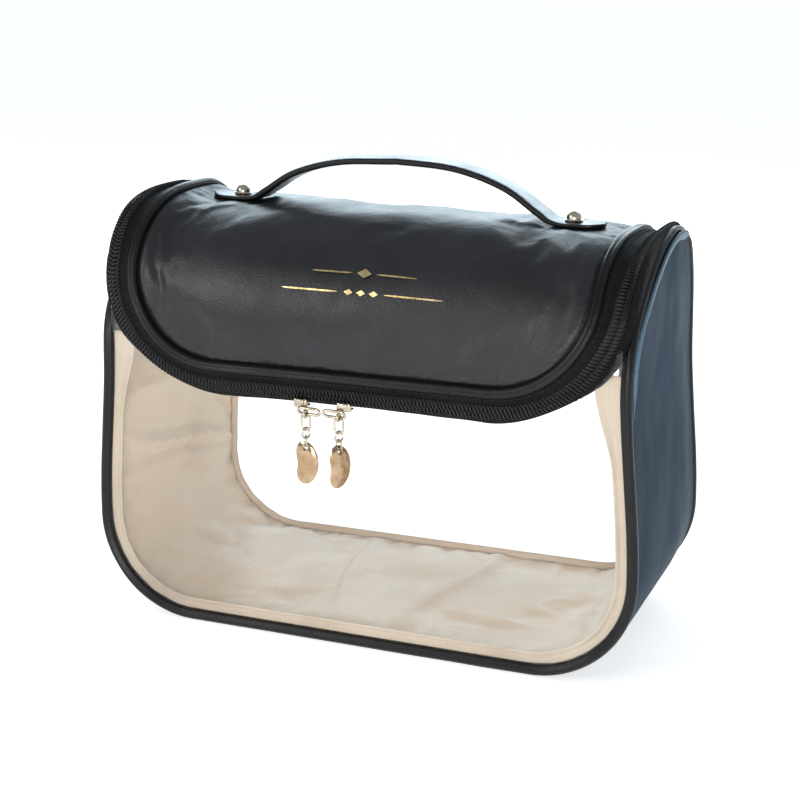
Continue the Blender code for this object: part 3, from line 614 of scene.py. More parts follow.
def u_grid(inset, edge_gap, columns, step):
    """The gusset's sheet inside its outer face by inset, and short of its edges by edge_gap."""
    profile = edge_profile(edge_gap)
    top = profile[:, 1].max() - TIP_DROP
    line = u_line(inset, top, step)
    low = GUSSET_EDGE[0][1]
    front = np.where(line[:, 1] > low, edge_y(profile, line[:, 1], True), -SEAM_Y + edge_gap)
    back = np.where(line[:, 1] > low, edge_y(profile, line[:, 1], False), SEAM_Y - edge_gap)
    share = np.linspace(0.0, 1.0, columns)
    y = mix(front[:, None], back[:, None], share[None])
    return np.stack([np.repeat(line[:, :1], columns, 1), y, np.repeat(line[:, 1:], columns, 1)], axis=2)


# ---------------------------------------------------------------- lid shape

def back_arch_y(z):
    rise = np.clip((z - ARCH_BASE) / ARCH_RISE, 0.0, 1.0)
    return BACK_REACH * (1.0 - rise ** BACK_POWER) ** (1.0 / BACK_POWER)


def arch_table():
    """(y, z) of the lid's outer face from its front edge over the hinge to the back window."""
    z = np.linspace(LID_EDGE_Z, SHOULDER_Z, 60, endpoint=False)
    y = -FRONT_REACH * (1 - ((z - ARCH_BASE) / ARCH_RISE) ** FRONT_POWER) ** (1 / FRONT_POWER)
    front = np.stack([y, z], axis=1)
    start = -FRONT_REACH * (1 - ((SHOULDER_Z - ARCH_BASE) / ARCH_RISE) ** FRONT_POWER) ** (1 / FRONT_POWER)
    y = np.linspace(start, HINGE_Y, 240)
    reach = np.where(y < 0, FRONT_REACH, BACK_REACH)
    power = np.where(y < 0, FRONT_POWER, BACK_POWER)
    z = ARCH_BASE + ARCH_RISE * (1 - (np.abs(y) / reach) ** power) ** (1 / power)
    top = np.stack([y, z], axis=1)
    z = np.linspace(z[-1], YOKE_LOW_Z, 40)[1:]
    return np.vstack([front, top, np.stack([back_arch_y(z), z], axis=1)]), len(front) + len(top) - 1


ARCH, HINGE_INDEX = arch_table()
ARCH_S = lengths(ARCH)
ARCH_LENGTH = ARCH_S[HINGE_INDEX]
ARCH_END = ARCH_S[-1]
ARCH_RUN = unit(np.gradient(ARCH, axis=0))
TOP_Z = ARCH[:, 1].max()


def arch_at(s):
    """y, z and outward normal (y, z) at distances from the lid's lower front edge."""
    y = np.interp(s, ARCH_S, ARCH[:, 0])
    z = np.interp(s, ARCH_S, ARCH[:, 1]) + np.minimum(s, 0.0)
    normal_y = np.where(s <= 0, -1.0, -np.interp(s, ARCH_S, ARCH_RUN[:, 1]))
    normal_z = np.where(s <= 0, 0.0, np.interp(s, ARCH_S, ARCH_RUN[:, 0]))
    size = np.hypot(normal_y, normal_z)
    return y, z, normal_y / size, normal_z / size


def lid_surface(x, s, depth, start=EDGE_LIFT_START):
    """Points of the lid at (x, s), under its outer face by depth; its side edges stand higher."""
    y, z, normal_y, normal_z = arch_at(s)
    climb = np.clip((np.abs(x) - start) / (LID_HALF_WIDTH - start), 0.0, 1.0)
    if start < EDGE_LIFT_START:
        climb = climb ** 1.6
    raised = np.where(np.asarray(x) < 0, EDGE_LIFT, RIGHT_LIFT)
    lift = raised * climb * smooth((ARCH_LENGTH - s) / 0.030) * np.maximum(normal_z, 0.0)
    out = lift - depth
    x = np.broadcast_to(x, y.shape)
    return np.stack([x, y + normal_y * out, z + normal_z * out], axis=-1)


def lid_edge(short):
    """The lid's edge, left hinge end to right: columns x, s, outward x, outward s, share of the side run."""
    straight = LID_HALF_WIDTH - LID_CORNER
    x = np.arange(0.0, straight, EDGE_STEP)
    front = np.stack([x, 0 * x, 0 * x, 0 * x - 1, 0 * x], axis=1)
    angle = np.linspace(0.0, np.pi / 2, round(LID_CORNER * np.pi / 2 / EDGE_STEP))
    sine, cosine = np.sin(angle), np.cos(angle)
    round_s = LID_CORNER * (1 - cosine)
    corner = np.stack([straight + LID_CORNER * sine, round_s, sine, -cosine, 0 * sine], axis=1)
    whole = ARCH_LENGTH - HINGE_GAP - LID_CORNER
    s = np.linspace(LID_CORNER, ARCH_LENGTH - short, round(whole / EDGE_STEP))[1:]
    side = np.stack([0 * s + LID_HALF_WIDTH, s, 0 * s + 1, 0 * s, (s - LID_CORNER) / whole], axis=1)
    right = np.vstack([front, corner, side])
    return np.vstack([right[1:][::-1] * (-1, 1, -1, 1, 1), right])


def band_point(edge, reach):
    """Points beyond the lid's edge by reach."""
    x, s, out_x, out_s, _ = edge.T
    return lid_surface(x + out_x * reach, s + out_s * reach, 0.12 * reach)


def coil_reach(edge):
    """How far beyond the lid's edge its coil runs."""
    return mix(COIL_REACH_FRONT, COIL_REACH_TOP, smooth(edge[:, 4] * 2 + np.abs(edge[:, 2]) * 0.5))


def coil_turn(edge):
    """Direction from the lid's coil to the body's, turned down round the ridge."""
    reach = coil_reach(edge)
    ahead = unit(band_point(edge, reach) - band_point(edge, reach - 0.002))
    _, _, normal_y, normal_z = arch_at(edge[:, 1] + edge[:, 3] * reach)
    inward = np.stack([0 * reach, -normal_y, -normal_z], axis=1)
    turn = np.radians(mix(20, 45, smooth(edge[:, 4] * 2)))[:, None]
    return unit(ahead * np.cos(turn) + inward * np.sin(turn))


def tape_end(edge):
    """Where the body's tape is sewn: under the front edge, then along the gusset's piping."""
    profile = edge_profile(-0.0008)
    profile = profile[profile[:, 1] > 0.1322]
    profile = profile[:int(np.argmax(profile[:, 0] > TIP_BACK + 0.0095))]
    whole = lengths(profile)[-1] / edge[:, 4].max()
    found = []
    for x, _, out_x, _, share in edge:
        side = math.copysign(1.0, x)
        out_x = abs(out_x)
        if share == 0.0:
            turn = math.asin(min(out_x, 1.0))
            near = abs(x) * PANEL_STRAIGHT / (LID_HALF_WIDTH - LID_CORNER)
            far = PANEL_STRAIGHT + (PANEL_END_X + 0.0014 - PANEL_STRAIGHT) * out_x
            y = mix(-0.0455, -0.0519, smooth(out_x * 2.2))
            z = PANEL_TOP_Z + PANEL_RISE * (1 - math.cos(turn)) + 0.0006 * out_x
            found.append((side * (near if out_x == 0.0 else far), y, z))
        else:
            y, z = at(profile, [whole * share])[0]
            found.append((side * mix(PANEL_END_X + 0.0014, side_x(z) - CORD, smooth(share * 12)), y, z))
    return np.array(found, float)


# ---------------------------------------------------------------- body pieces

def gusset():
    grid = u_grid(LEATHER / 2, CORD * 0.5, 44, 0.0022)
    out = grid_normals(grid)
    out = out * np.sign((out[..., 0] * grid[..., 0]).sum())
    height = smooth((grid[..., 2] - 0.006) / 0.030)
    across = np.sin(np.pi * np.linspace(0.0, 1.0, grid.shape[1]))[None] ** 0.8
    wave = 0.0011 * ripple(grid * (1.0, 1.0, 0.6), 26, 3.0) + 0.0004 * ripple(grid, 70, 8.0)
    tuck = -0.0009 * (1 - across)
    grid = grid + out * (height * (across * (0.0005 + wave) + tuck))[..., None]
    # The skin's slate-blue tint is partly painted reflection of the bluish light.
    skin = piece(shell("gusset_skin", grid, LEATHER, GUSSET_LEATHER_PAINTED_REFLECTION), "bag", "slate_leather", "gusset_leather")


def gusset_hem(side):
    """Turned edge of the gusset's leather beside the piping, widest over the tip; its pale blue is painted
    highlight.
    """
    line = even(edge_profile(0.0), 0.0014)
    share = lengths(line) / lengths(line)[-1]
    line = line[(share > 0.03) & (line[:, 0] < TIP_BACK)]
    ends = smooth(np.minimum(lengths(line), lengths(line)[-1] - lengths(line)) / 0.012)
    wide = mix(0.0005, 0.0021, smooth((line[:, 1] - 0.128) / 0.028)) * ends + 0.0001
    inward = unit(np.stack([np.gradient(line[:, 1]), -np.gradient(line[:, 0])], axis=1))
    line = line + inward * (CORD * 0.62 + wide)[:, None] * 0.72
    x = side * (side_x(line[:, 1]) + 0.0004)
    middle = np.stack([x, line[:, 0], line[:, 1]], axis=1)
    tilt = np.stack([0.35 * side + 0 * x, -inward[:, 0], -inward[:, 1]], axis=1)
    _, across, normal = frames(middle, tilt)
    scale = np.stack([wide, 0.0008 * ends + 0.0001], axis=1)
    name = "gusset_hem_" + ("left" if side < 0 else "right")
    item = mesh_piece(name, *sweep_mesh(middle, across, normal, circle(1.0, 14), scale), HEM_PAINTED_HIGHLIGHT)
    piece(item, "bag", "slate_leather")


def gusset_lining():
    grid = u_grid(LINING_INSET + LINING_THICKNESS / 2, CORD + GAP + 0.0004, 52, 0.0021)
    flat = grid.copy()
    inward = grid_normals(grid)
    inward = inward * -np.sign((inward[..., 0] * grid[..., 0]).sum())
    across = np.sin(np.pi * np.linspace(0.0, 1.0, grid.shape[1]))[None]
    seam = 1 - across ** 0.5
    along_u = lengths(grid[:, 0])[:, None]
    corner = np.exp(-((grid[..., 2] - 0.022) / 0.030) ** 2) * smooth((np.abs(grid[..., 0]) - 0.055) / 0.03)
    pucker = 0.0005 * np.sin(along_u * 2 * np.pi / 0.0105 + 3 * ripple(grid, 40, 2.0)) * seam * (0.4 + corner)
    soft = 0.0010 * (0.6 + ripple(grid * (1.0, 0.6, 1.0), 42, 5.0)) * across * (0.6 + corner)
    fold = 0.0009 * np.maximum(ripple(grid * (1.0, 0.5, 1.4), 75, 9.0), 0) * across * (0.3 + 1.6 * corner)
    deep = np.linspace(0.0, 1.0, grid.shape[1])[None]
    for start, slant, height, width in (
        (0.114, 0.030, 0.0042, 0.0042), (0.100, -0.018, 0.0024, 0.0060), (0.134, 0.012, 0.0026, 0.0050),
        (0.070, 0.016, 0.0020, 0.0070), (0.165, -0.020, 0.0016, 0.0070), (0.205, 0.024, 0.0013, 0.0060),
        (0.268, -0.022, 0.0018, 0.0060), (0.292, 0.014, 0.0024, 0.0045), (0.048, -0.012, 0.0016, 0.0060),
    ):
        away = along_u - start - slant * deep + 0.003 * np.sin(deep * 5 + start * 90)
        crease = np.where(away > 0, np.exp(-(away / width) ** 2), np.exp(-(away / (width * 0.3)) ** 2))
        fold = fold + height * crease * np.sin(np.pi * deep) ** 0.6
    grid = grid + inward * np.maximum(pucker + soft + fold + 0.0003, 0.0)[..., None]
    item = shell("gusset_liner", grid, LINING_THICKNESS, LINING)
    rows, columns = grid.shape[:2]
    outline = [own for own, _ in rim(rows, columns)]
    held = outline + [i + rows * columns for i in outline]
    held += [i + 2 * rows * columns for i in range(len(outline))]
    simulate(item, held, 0.0012, shrink=-0.03, steps=16)
    piece(item, "bag", "lining", "gusset_lining")


def cord_section(radius, groove, depth, width, sides=28):
    """A round section with a soft groove at an angle from the across axis."""
    angle = 2 * np.pi * np.arange(sides) / sides
    away = np.degrees(np.angle(np.exp(1j * (angle - np.radians(groove)))))
    size = radius * (1 - depth * np.exp(-(away / width) ** 2))
    return np.stack([np.cos(angle) * size, np.sin(angle) * size], axis=1)


def body_cording(front):
    """Leather-covered cord round one side, on up the gusset's sloping edge."""
    profile = edge_profile()
    if not front:
        profile = profile[::-1]
    rising = profile[profile[:, 0] < TIP_BACK - 0.0004] if front else profile[profile[:, 0] > TIP_BACK]
    flat = u_line(CORD, rising[0][1], 0.0018)
    y = -SEAM_Y if front else SEAM_Y
    middle = np.stack([flat[:, 0], np.full(len(flat), y), flat[:, 1]], axis=1)
    climb = even(rising, 0.0016)[1:]
    climb = np.stack([side_x(climb[:, 1]) - CORD, climb[:, 0], climb[:, 1]], axis=1)
    line = np.vstack([climb[::-1] * (-1, 1, 1), middle, climb])
    inner = np.array([0.0, y, CORNER_RADIUS + 0.030])
    hint = (line - inner) * (1, 0, 1)
    hint = np.where(np.abs(line[:, :1]) > HALF_WIDTH - 0.012, np.sign(line) * (1, 0, 0), hint)
    for _ in range(12):
        hint[1:-1] = (hint[:-2] + hint[1:-1] * 2 + hint[2:]) / 4
    _, across, normal = frames(line, hint)
    if (normal[len(line) // 2][1] > 0) == front:
        normal = -normal
    name = "front_cording" if front else "back_cording"
    thick = 1 + 0.05 * ripple(line, 55, 4.0)
    taper = smooth(np.minimum(lengths(line), lengths(line)[-1] - lengths(line)) / 0.006) * 0.55 + 0.45
    if front:
        taper = 1 - 0.45 * smooth((line[:, 1] - TIP_FRONT + 0.012) / 0.014)
    scale = np.stack([thick * taper, thick * taper], axis=1)
    section = cord_section(CORD, 118, 0.20, 20)
    item = mesh_piece(name, *sweep_mesh(line, across, normal, section, scale), CORD_LEATHER)
    piece(item, "bag", "piping", "front_piping" if front else "back_piping")


def film_grid(top_of, inset, y, wave_side):
    """A clear panel: straight-sided columns between the rounded bottom and its top edge."""
    columns, rows = 110, 64
    half = HALF_WIDTH - inset
    share = np.sin(np.linspace(-1.0, 1.0, columns) * np.pi / 2)
    x = share * half
    over = np.maximum(np.abs(x) - (HALF_WIDTH - CORNER_RADIUS), 0.0)
    radius = CORNER_RADIUS - inset
    low = CORNER_RADIUS - np.sqrt(np.maximum(radius ** 2 - np.minimum(over, radius) ** 2, 0.0))
    high = top_of(np.abs(x))
    up = np.linspace(0.0, 1.0, rows)[:, None]
    z = mix(low[None], high[None], up)
    wide = share[None] * (side_x(z) - inset)
    wide = np.where(z < CORNER_RADIUS, x[None], wide)
    grid = np.stack([wide, np.full_like(z, y), z], axis=2)
    calm = np.sin(np.pi * up) * np.sin(np.pi * np.linspace(0.0, 1.0, columns))[None]
    bow = 0.0007 * calm + 0.0006 * ripple(grid, 17, 1.0) * calm ** 0.5
    grid[..., 1] += wave_side * np.maximum(bow, 0.0)
    return grid


def front_top(x):
    over = np.clip((x - PANEL_STRAIGHT) / (PANEL_END_X - PANEL_STRAIGHT), 0.0, 1.0)
    return PANEL_TOP_Z + PANEL_RISE * (1 - np.sqrt(1 - over ** 2)) - 0.0011


def windows():
    inset = 2 * CORD - 0.0004
    for name, top_of, y, side, node in (
        ("front_film", front_top, -SEAM_Y, -1, "front_window"),
        ("back_film", lambda x: 0 * x + YOKE_LOW_Z - GAP, SEAM_Y, 1, "back_window"),
    ):
        grid = film_grid(top_of, inset, y, side)
        item = piece(shell(name, grid, FILM_THICKNESS, FILM), "bag", "clear_film", node)


def binding(front):
    """Soft folded tape over the seam inside, with its line of stitches."""
    name = "front_binding" if front else "back_binding"
    side = -1 if front else 1
    top = FRONT_BINDING_TOP if front else YOKE_LOW_Z - GAP
    inset = 2 * CORD + GAP
    outer = u_line(inset, top, 0.0016)
    inner = u_line(inset + BINDING_SEEN, top, 0.0016)
    inner = at(inner, np.linspace(0, lengths(inner)[-1], len(outer)))
    flare = 0.0052 * smooth((inner[:, 1] - 0.085) / 0.035) if front else 0.0
    inner[:, 0] -= np.sign(inner[:, 0]) * flare
    share = np.linspace(0.0, 1.0, 12)
    flat = mix(outer[:, None], inner[:, None], share[None, :, None])
    grid = np.stack([flat[..., 0], np.full(flat.shape[:2], BINDING_Y * side), flat[..., 1]], axis=2)
    corner = smooth((np.abs(grid[..., 0]) - 0.06) / 0.03) * smooth((0.06 - grid[..., 2]) / 0.03)
    puff = 0.0011 * np.sin(np.pi * share)[None] * (1 + 0.5 * ripple(grid, 90, 2.0))
    pucker = 0.0006 * corner * (0.6 + ripple(grid, 190, 6.0))
    grid[..., 1] -= side * np.maximum(puff + pucker, 0.0)
    sway = 0.0006 * ripple(grid, 45, 7.0) * share[None] ** 2
    grid[..., 0] += sway * np.sign(grid[..., 0])
    item = shell(name, grid, BINDING_THICKNESS, BINDING)
    piece(item, "bag", "binding", "front_seam_binding" if front else "back_seam_binding")
    normal = grid_normals(grid)[:, 5]
    normal = normal * np.sign(normal[:, 1:2]) * -side
    row = stitch_row(name + "_stitches", grid[:, 5] + normal * BINDING_THICKNESS / 2, normal, THREAD_BEIGE)
    piece(row, "bag", "binding")


def over_hinge(s, lift, narrow, inset, widen, columns):
    """A grid over the hinge at distances s, off the outer face by lift, run straight down past its end.

    Between the two distances in widen, past the hinge, it goes from narrow to the sides less inset.
    """
    y, z, normal_y, normal_z = arch_at(np.minimum(s, ARCH_END))
    z = z - np.maximum(s - ARCH_END, 0.0)
    half = mix(narrow, side_x(z) - inset, smooth((s - ARCH_LENGTH - widen[0]) / (widen[1] - widen[0])))
    x = half[:, None] * np.linspace(-1.0, 1.0, columns)[None]
    y, z = [np.repeat(v[:, None], columns, 1) for v in (y + normal_y * lift, z + normal_z * lift)]
    return np.stack([x, y, z], axis=2)


def folding(item, node):
    """Hides the imported part and bakes the piece's placement into its mesh."""
    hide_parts(node)
    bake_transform(item)


def yoke():
    """Leather from the lid over the hinge down to the back window."""
    turn, end = ARCH_LENGTH + 0.006, ARCH_END + 0.004
    s = np.concatenate([np.linspace(ARCH_LENGTH - 0.0055, turn, 26), np.linspace(turn, end, 24)[1:]])
    lift = mix(0.0004, -0.0002, smooth((s - ARCH_LENGTH) / 0.004)) - LEATHER / 4
    grid = over_hinge(s, lift, 0.0925, 2 * CORD - 0.0006, (-0.0040, -0.0010), 72)
    item = shell("yoke_skin", grid, LEATHER * 0.7, YOKE_LEATHER)
    folding(item, "back_yoke")
    line = grid[-5] + (0, 0.0007, 0)
    row = stitch_row("yoke_stitches", line, np.tile([0.0, 1.0, 0.0], (len(line), 1)), THREAD_BLACK)
    piece(row, "bag", "black_leather")


def yoke_lining():
    """Lining behind the yoke, carried on over the hinge to the lid's own lining."""
    turn, end = ARCH_LENGTH + 0.004, ARCH_END + 0.004
    s = np.concatenate([np.linspace(ARCH_LENGTH - 0.004, turn, 20), np.linspace(turn, end, 22)[1:]])
    deep = mix(LID_DEPTH - 0.0004, LEATHER + GAP + 0.0003, smooth((s - ARCH_LENGTH - 0.001) / 0.006))
    grid = over_hinge(s, -deep, 0.0900, LINING_INSET + 0.001, (0.0015, 0.0055), 60)
    grid = grid + grid_normals(grid) * (0.0003 * ripple(grid, 60, 3.0))[..., None]
    item = shell("yoke_liner", grid, LINING_THICKNESS, LID_LINING)
    folding(item, "yoke_lining")


# ---------------------------------------------------------------- lid pieces

def lid_grid(edge_gap, depth, columns, step):
    """The lid's outline filled with a grid; returns x, s and the points under the outer face."""
    corner = LID_CORNER - edge_gap
    turn = np.linspace(0.0, np.pi / 2, round(corner * 1.3 / step))
    low = edge_gap + corner * (1 - np.cos(turn))
    high = ARCH_LENGTH - HINGE_GAP
    rest = np.linspace(low[-1], high, round((high - low[-1]) / step))[1:]
    s = np.concatenate([low, rest])
    climb = np.clip((s - edge_gap) / corner, 0.0, 1.0)
    width = LID_HALF_WIDTH - edge_gap - corner * (1 - np.sqrt(np.maximum(1 - (1 - climb) ** 2, 0.0)))
    share = np.linspace(-1.0, 1.0, columns)
    share = mix(share, np.sin(share * np.pi / 2), 0.5)
    x = width[:, None] * share[None]
    s = np.repeat(s[:, None], columns, 1)
    return x, s, lid_surface(x, s, depth, PAD_LIFT_START)


def edge_distance(x, s):
    """Distance in from the lid's piped edge; the hinge end doesn't count."""
    over_x = np.abs(x) - (LID_HALF_WIDTH - LID_CORNER)
    over_s = LID_CORNER - s
    outside = np.hypot(np.maximum(over_x, 0), np.maximum(over_s, 0))
    return np.maximum(LID_CORNER - outside - np.minimum(np.maximum(over_x, over_s), 0), 0.0)


def tab_distance(x, s):
    """Distance from the flat patch under the handle's nearer tab."""
    middle = np.interp(0.0, ARCH[:, 0], ARCH_S)
    beside = np.maximum(np.abs(np.abs(x) - TAB_MIDDLE_X) - TAB_REACH[0], 0.0)
    return np.hypot(beside, np.maximum(np.abs(s - middle) - TAB_REACH[1], 0.0))


def crown(x, s):
    """How far the padding stands above the plain lid: rolled edges, calm under the handle's tabs."""
    inward = edge_distance(x, s)
    roll = -0.0015 * (1 - np.sqrt(1 - (1 - np.minimum(inward / 0.0080, 1)) ** 2 * 0.999))
    puff = 0.0012 * (1 - np.exp(-(inward / 0.014) ** 2))
    return (roll + puff * smooth(tab_distance(x, s) / 0.010)) * smooth((ARCH_LENGTH - s) / 0.016)


def lid_pad():
    """Padded leather of the lid, plumped by the cloth simulation, with small puckers at its corners."""
    x, s, plain = lid_grid(-0.0006, 0.0, 112, 0.0017)
    out = grid_normals(plain)
    out = out * np.sign(out[..., 2].sum())
    wave = 0.00035 * ripple(plain, 33, 1.0) + 0.00016 * ripple(plain, 90, 4.0)
    inward = edge_distance(x, s)
    calm = smooth(inward / 0.010) * smooth((ARCH_LENGTH - s) / 0.015)
    tab = tab_distance(x, s)
    calm = calm * smooth(tab / 0.010)
    pull = 0.0005 * np.sin(np.arctan2(s - 0.036, np.abs(x) - 0.057) * 46 + 2 * ripple(plain, 30, 6.0))
    pull = pull * np.exp(-((inward - 0.006) / 0.004) ** 2)
    pull = pull * smooth((0.030 - s) / 0.02) * smooth((np.abs(x) - 0.050) / 0.01)
    top = plain + out * (crown(x, s) + wave * calm + pull * 0.5)[..., None]
    bottom = plain - out * mix(0.0034, 0.0046, smooth(inward / 0.006))[..., None]
    points, faces = closed_between(top, bottom, 0.0003)
    item = mesh_piece("lid_pad", points, faces, LID_LEATHER, 60)
    count = top.shape[0] * top.shape[1]
    edge = (inward < 0.0015) | (s > ARCH_LENGTH - 0.006) | (tab < 0.001)
    held = np.concatenate([np.nonzero(edge.ravel())[0], np.arange(count, len(points))])
    simulate(item, held, 0.0009, pressure=3.0, shrink=-0.012, steps=20)
    piece(item, "lid", "black_leather", "lid_leather", "lid_foam")
    return item


def lid_liner():
    x, s, plain = lid_grid(0.0016, LID_DEPTH - LINING_THICKNESS / 2, 84, 0.0024)
    calm = smooth(edge_distance(x, s) / 0.008)
    out = grid_normals(plain)
    out = out * np.sign(out[..., 2].sum())
    folds = 0.0006 * (0.5 + ripple(plain, 55, 2.0)) + 0.0004 * np.maximum(ripple(plain, 120, 5.0), 0)
    grid = plain - out * np.maximum(folds * calm, 0.0)[..., None]
    item = piece(shell("lid_liner", grid, LINING_THICKNESS, LID_LINING), "lid", "lining", "lid_lining")


def lid_cording():
    """Double-ridged piping round the lid's edge."""
    edge = lid_edge(CORD_SHORT)
    line = band_point(edge, LID_CORD)
    out = band_point(edge, LID_CORD + 0.001) - line
    _, across, normal = frames(line, out)
    if normal[len(line) // 2][1] > 0:
        normal = -normal
    thick = 1 + 0.04 * ripple(line, 60, 2.0)
    section = cord_section(LID_CORD, 90, 0.34, 17, 32) * (1.0, 0.92)
    swept = sweep_mesh(line, across, normal, section, np.stack([thick, thick], 1))
    piece(mesh_piece("lid_cording", *swept, CORD_LEATHER), "lid", "piping", "lid_piping")


def tape_stitches(body, line, out):
    line = line + out * TAPE_THICKNESS / 2
    row = stitch_row(body + "_tape_stitches", line, out, THREAD_BLACK, 0.0025, 0.0017)
    return piece(row, "bag" if body == "body" else body, "zipper_tape")


def zipper():
    """The lid's tape, the two meshed coils and the body's tape."""
    edge = lid_edge(TAPE_SHORT)
    reach = coil_reach(edge)
    share = np.linspace(0.0, 1.0, 9)
    rows = [band_point(edge, mix(2 * LID_CORD - 0.0008, reach - 0.0009, v)) for v in share]
    grid = np.stack(rows, axis=1)
    sag = 0.0004 * np.sin(np.pi * share)[None] * np.ones(len(edge))[:, None]
    out = grid_normals(grid)
    out = out * -np.sign(out[len(edge) // 2, 4, 1])
    grid = grid - out * sag[..., None]
    tape = piece(shell("lid_tape", grid, TAPE_THICKNESS, TAPE), "lid", "zipper_tape", "lid_zipper_tape")
    row = tape_stitches("lid", grid[:, 3], out[:, 3])

    edge = lid_edge(COIL_SHORT)
    first = band_point(edge, coil_reach(edge))
    turn = coil_turn(edge)
    second = first + turn * COIL_SPACING
    coil("lid_coil", first, turn, 0.0, "lid", "lid_zipper_coil")
    coil("body_coil", second, -turn, 0.5, "bag", "body_zipper_coil")
    edge = lid_edge(-TAPE_WRAP)
    turn = coil_turn(edge)
    body_tape(edge, band_point(edge, coil_reach(edge)) + turn * COIL_SPACING, turn)


def coil(name, line, toward, phase, body, node):
    """A nylon spiral whose heads reach between the other coil's."""
    fine = even(line, TOOTH_PITCH / 12)
    _, across, normal = frames(fine, carried(line, toward, fine))
    angle = 2 * np.pi * (lengths(fine) / TOOTH_PITCH + phase)
    sway = np.cos(angle)[:, None] * across * COIL_HALF_WIDTH
    sway = sway + np.sin(angle)[:, None] * normal * COIL_HALF_HEIGHT
    wire = fine + sway + across * 0.0002
    _, out, side = frames(wire, sway)
    core = line[2:-2]
    _, flat, up = frames(core, toward[2:-2])
    parts = [
        sweep_mesh(wire, out, side, circle(COIL_WIRE, 6)),
        sweep_mesh(core, flat, up, circle(1.0, 10) * COIL_CORE),
    ]
    item = mesh_piece(name, *joined(parts), COIL)
    piece(item, body, "zipper_coil", node)


def carried(line, values, fine):
    """The values of a line's points at the points of a finer copy of it."""
    share = lengths(line) / lengths(line)[-1]
    spot = np.linspace(0.0, 1.0, len(fine))
    return np.stack([np.interp(spot, share, values[:, k]) for k in range(3)], axis=1)


def body_tape(edge, line, turn):
    """The tape from the body's coil, bent down to the seam it is sewn to."""
    start = line + turn * 0.0009
    end = tape_end(edge)
    away = np.linalg.norm(end - start, axis=1)[:, None]
    bend = start + turn * away * 0.42
    share = np.linspace(0.0, 1.0, 14)[None, :, None]
    grid = (1 - share) ** 2 * start[:, None] + 2 * share * (1 - share) * bend[:, None]
    grid = grid + share ** 2 * end[:, None]
    out = grid_normals(grid)
    out = out * np.sign(out[-10, 6, 2])
    grid = grid + out * (0.0003 * ripple(grid, 80, 3.0) * np.sin(np.pi * share[..., 0]))[..., None]
    tape = piece(shell("body_tape", grid, TAPE_THICKNESS, TAPE), "bag", "zipper_tape", "body_zipper_tape")
    row = tape_stitches("body", grid[:, -3], out[:, -3])


# ---------------------------------------------------------------- handle pieces

def handle():
    """Bowed strap with a rounded tab at each end, its cut edges darker, and its studs; blue-grey faces partly
    painted reflection.
    """
    rest = GAP + STRAP_THICKNESS / 2
    right = through((
        (0.0, HANDLE_RISE + rest), (0.025, 0.92 * HANDLE_RISE + rest), (0.045, 0.62 * HANDLE_RISE + rest),
        (0.0590, 0.16 * HANDLE_RISE + rest), (0.0660, rest), (TAB_END_X, rest),
    ), 14)
    right = even(right, 0.0012)
    line = np.vstack([right[1:][::-1] * (-1, 1), right])
    climb = np.clip((np.abs(line[:, 0]) - PAD_LIFT_START) / (LID_HALF_WIDTH - PAD_LIFT_START), 0, 1) ** 1.6
    line[:, 1] += np.where(line[:, 0] < 0, EDGE_LIFT, RIGHT_LIFT) * climb
    line = np.stack([line[:, 0], 0 * line[:, 0], TOP_Z + line[:, 1]], axis=1)
    tip = np.clip((np.abs(line[:, 0]) - TAB_END_X + STRAP_HALF_WIDTH) / STRAP_HALF_WIDTH, 0, 1)
    wide = np.sqrt(1 - (0.96 * tip) ** 2)
    thin = mix(1.0, 0.62, smooth((np.abs(line[:, 0]) - 0.058) / 0.012))
    line[:, 2] -= (1 - thin) * STRAP_THICKNESS / 2
    angle = 2 * np.pi * (np.arange(40) + 0.5) / 40
    section = np.stack([
        STRAP_HALF_WIDTH * np.sign(np.cos(angle)) * np.abs(np.cos(angle)) ** 0.28,
        STRAP_THICKNESS / 2 * np.sign(np.sin(angle)) * np.abs(np.sin(angle)) ** 0.55,
    ], axis=1)
    _, across, normal = frames(line, np.tile([0.0, 1.0, 0.0], (len(line), 1)))
    scale = np.stack([wide, thin], axis=1)
    strap = mesh_piece("strap", *sweep_mesh(line, across, normal, section, scale), PAINTED_REFLECTION_STRAP, 50)
    strap.data.materials.append(CORD_LEATHER)
    for face in strap.data.polygons:
        corner = face.index % len(section) if face.index < (len(line) - 1) * len(section) else 0
        face.material_index = int(abs(section[corner, 0]) > STRAP_HALF_WIDTH - 0.0009)
    piece(strap, "lid", "strap_leather", "handle_strap")
    for side, sign in (("left", -1), ("right", 1)):
        stud(side, sign * STUD_X)


def turned(profile, place):
    """Points and faces of a (radius, height) profile turned about +Z."""
    profile = np.array(profile, float)
    steps = 40
    angle = 2 * np.pi * np.arange(steps) / steps
    ring = np.stack([np.cos(angle), np.sin(angle)], axis=1)
    points = np.concatenate([
        profile[:, None, :1] * ring[None], np.repeat(profile[:, None, 1:], steps, 1)
    ], axis=2).reshape(-1, 3) + np.array(place)
    faces = grid_faces(len(profile), steps, loop=True)
    ends = [tuple(range(steps)), tuple(reversed(range(len(points) - steps, len(points))))]
    return points, faces + ends


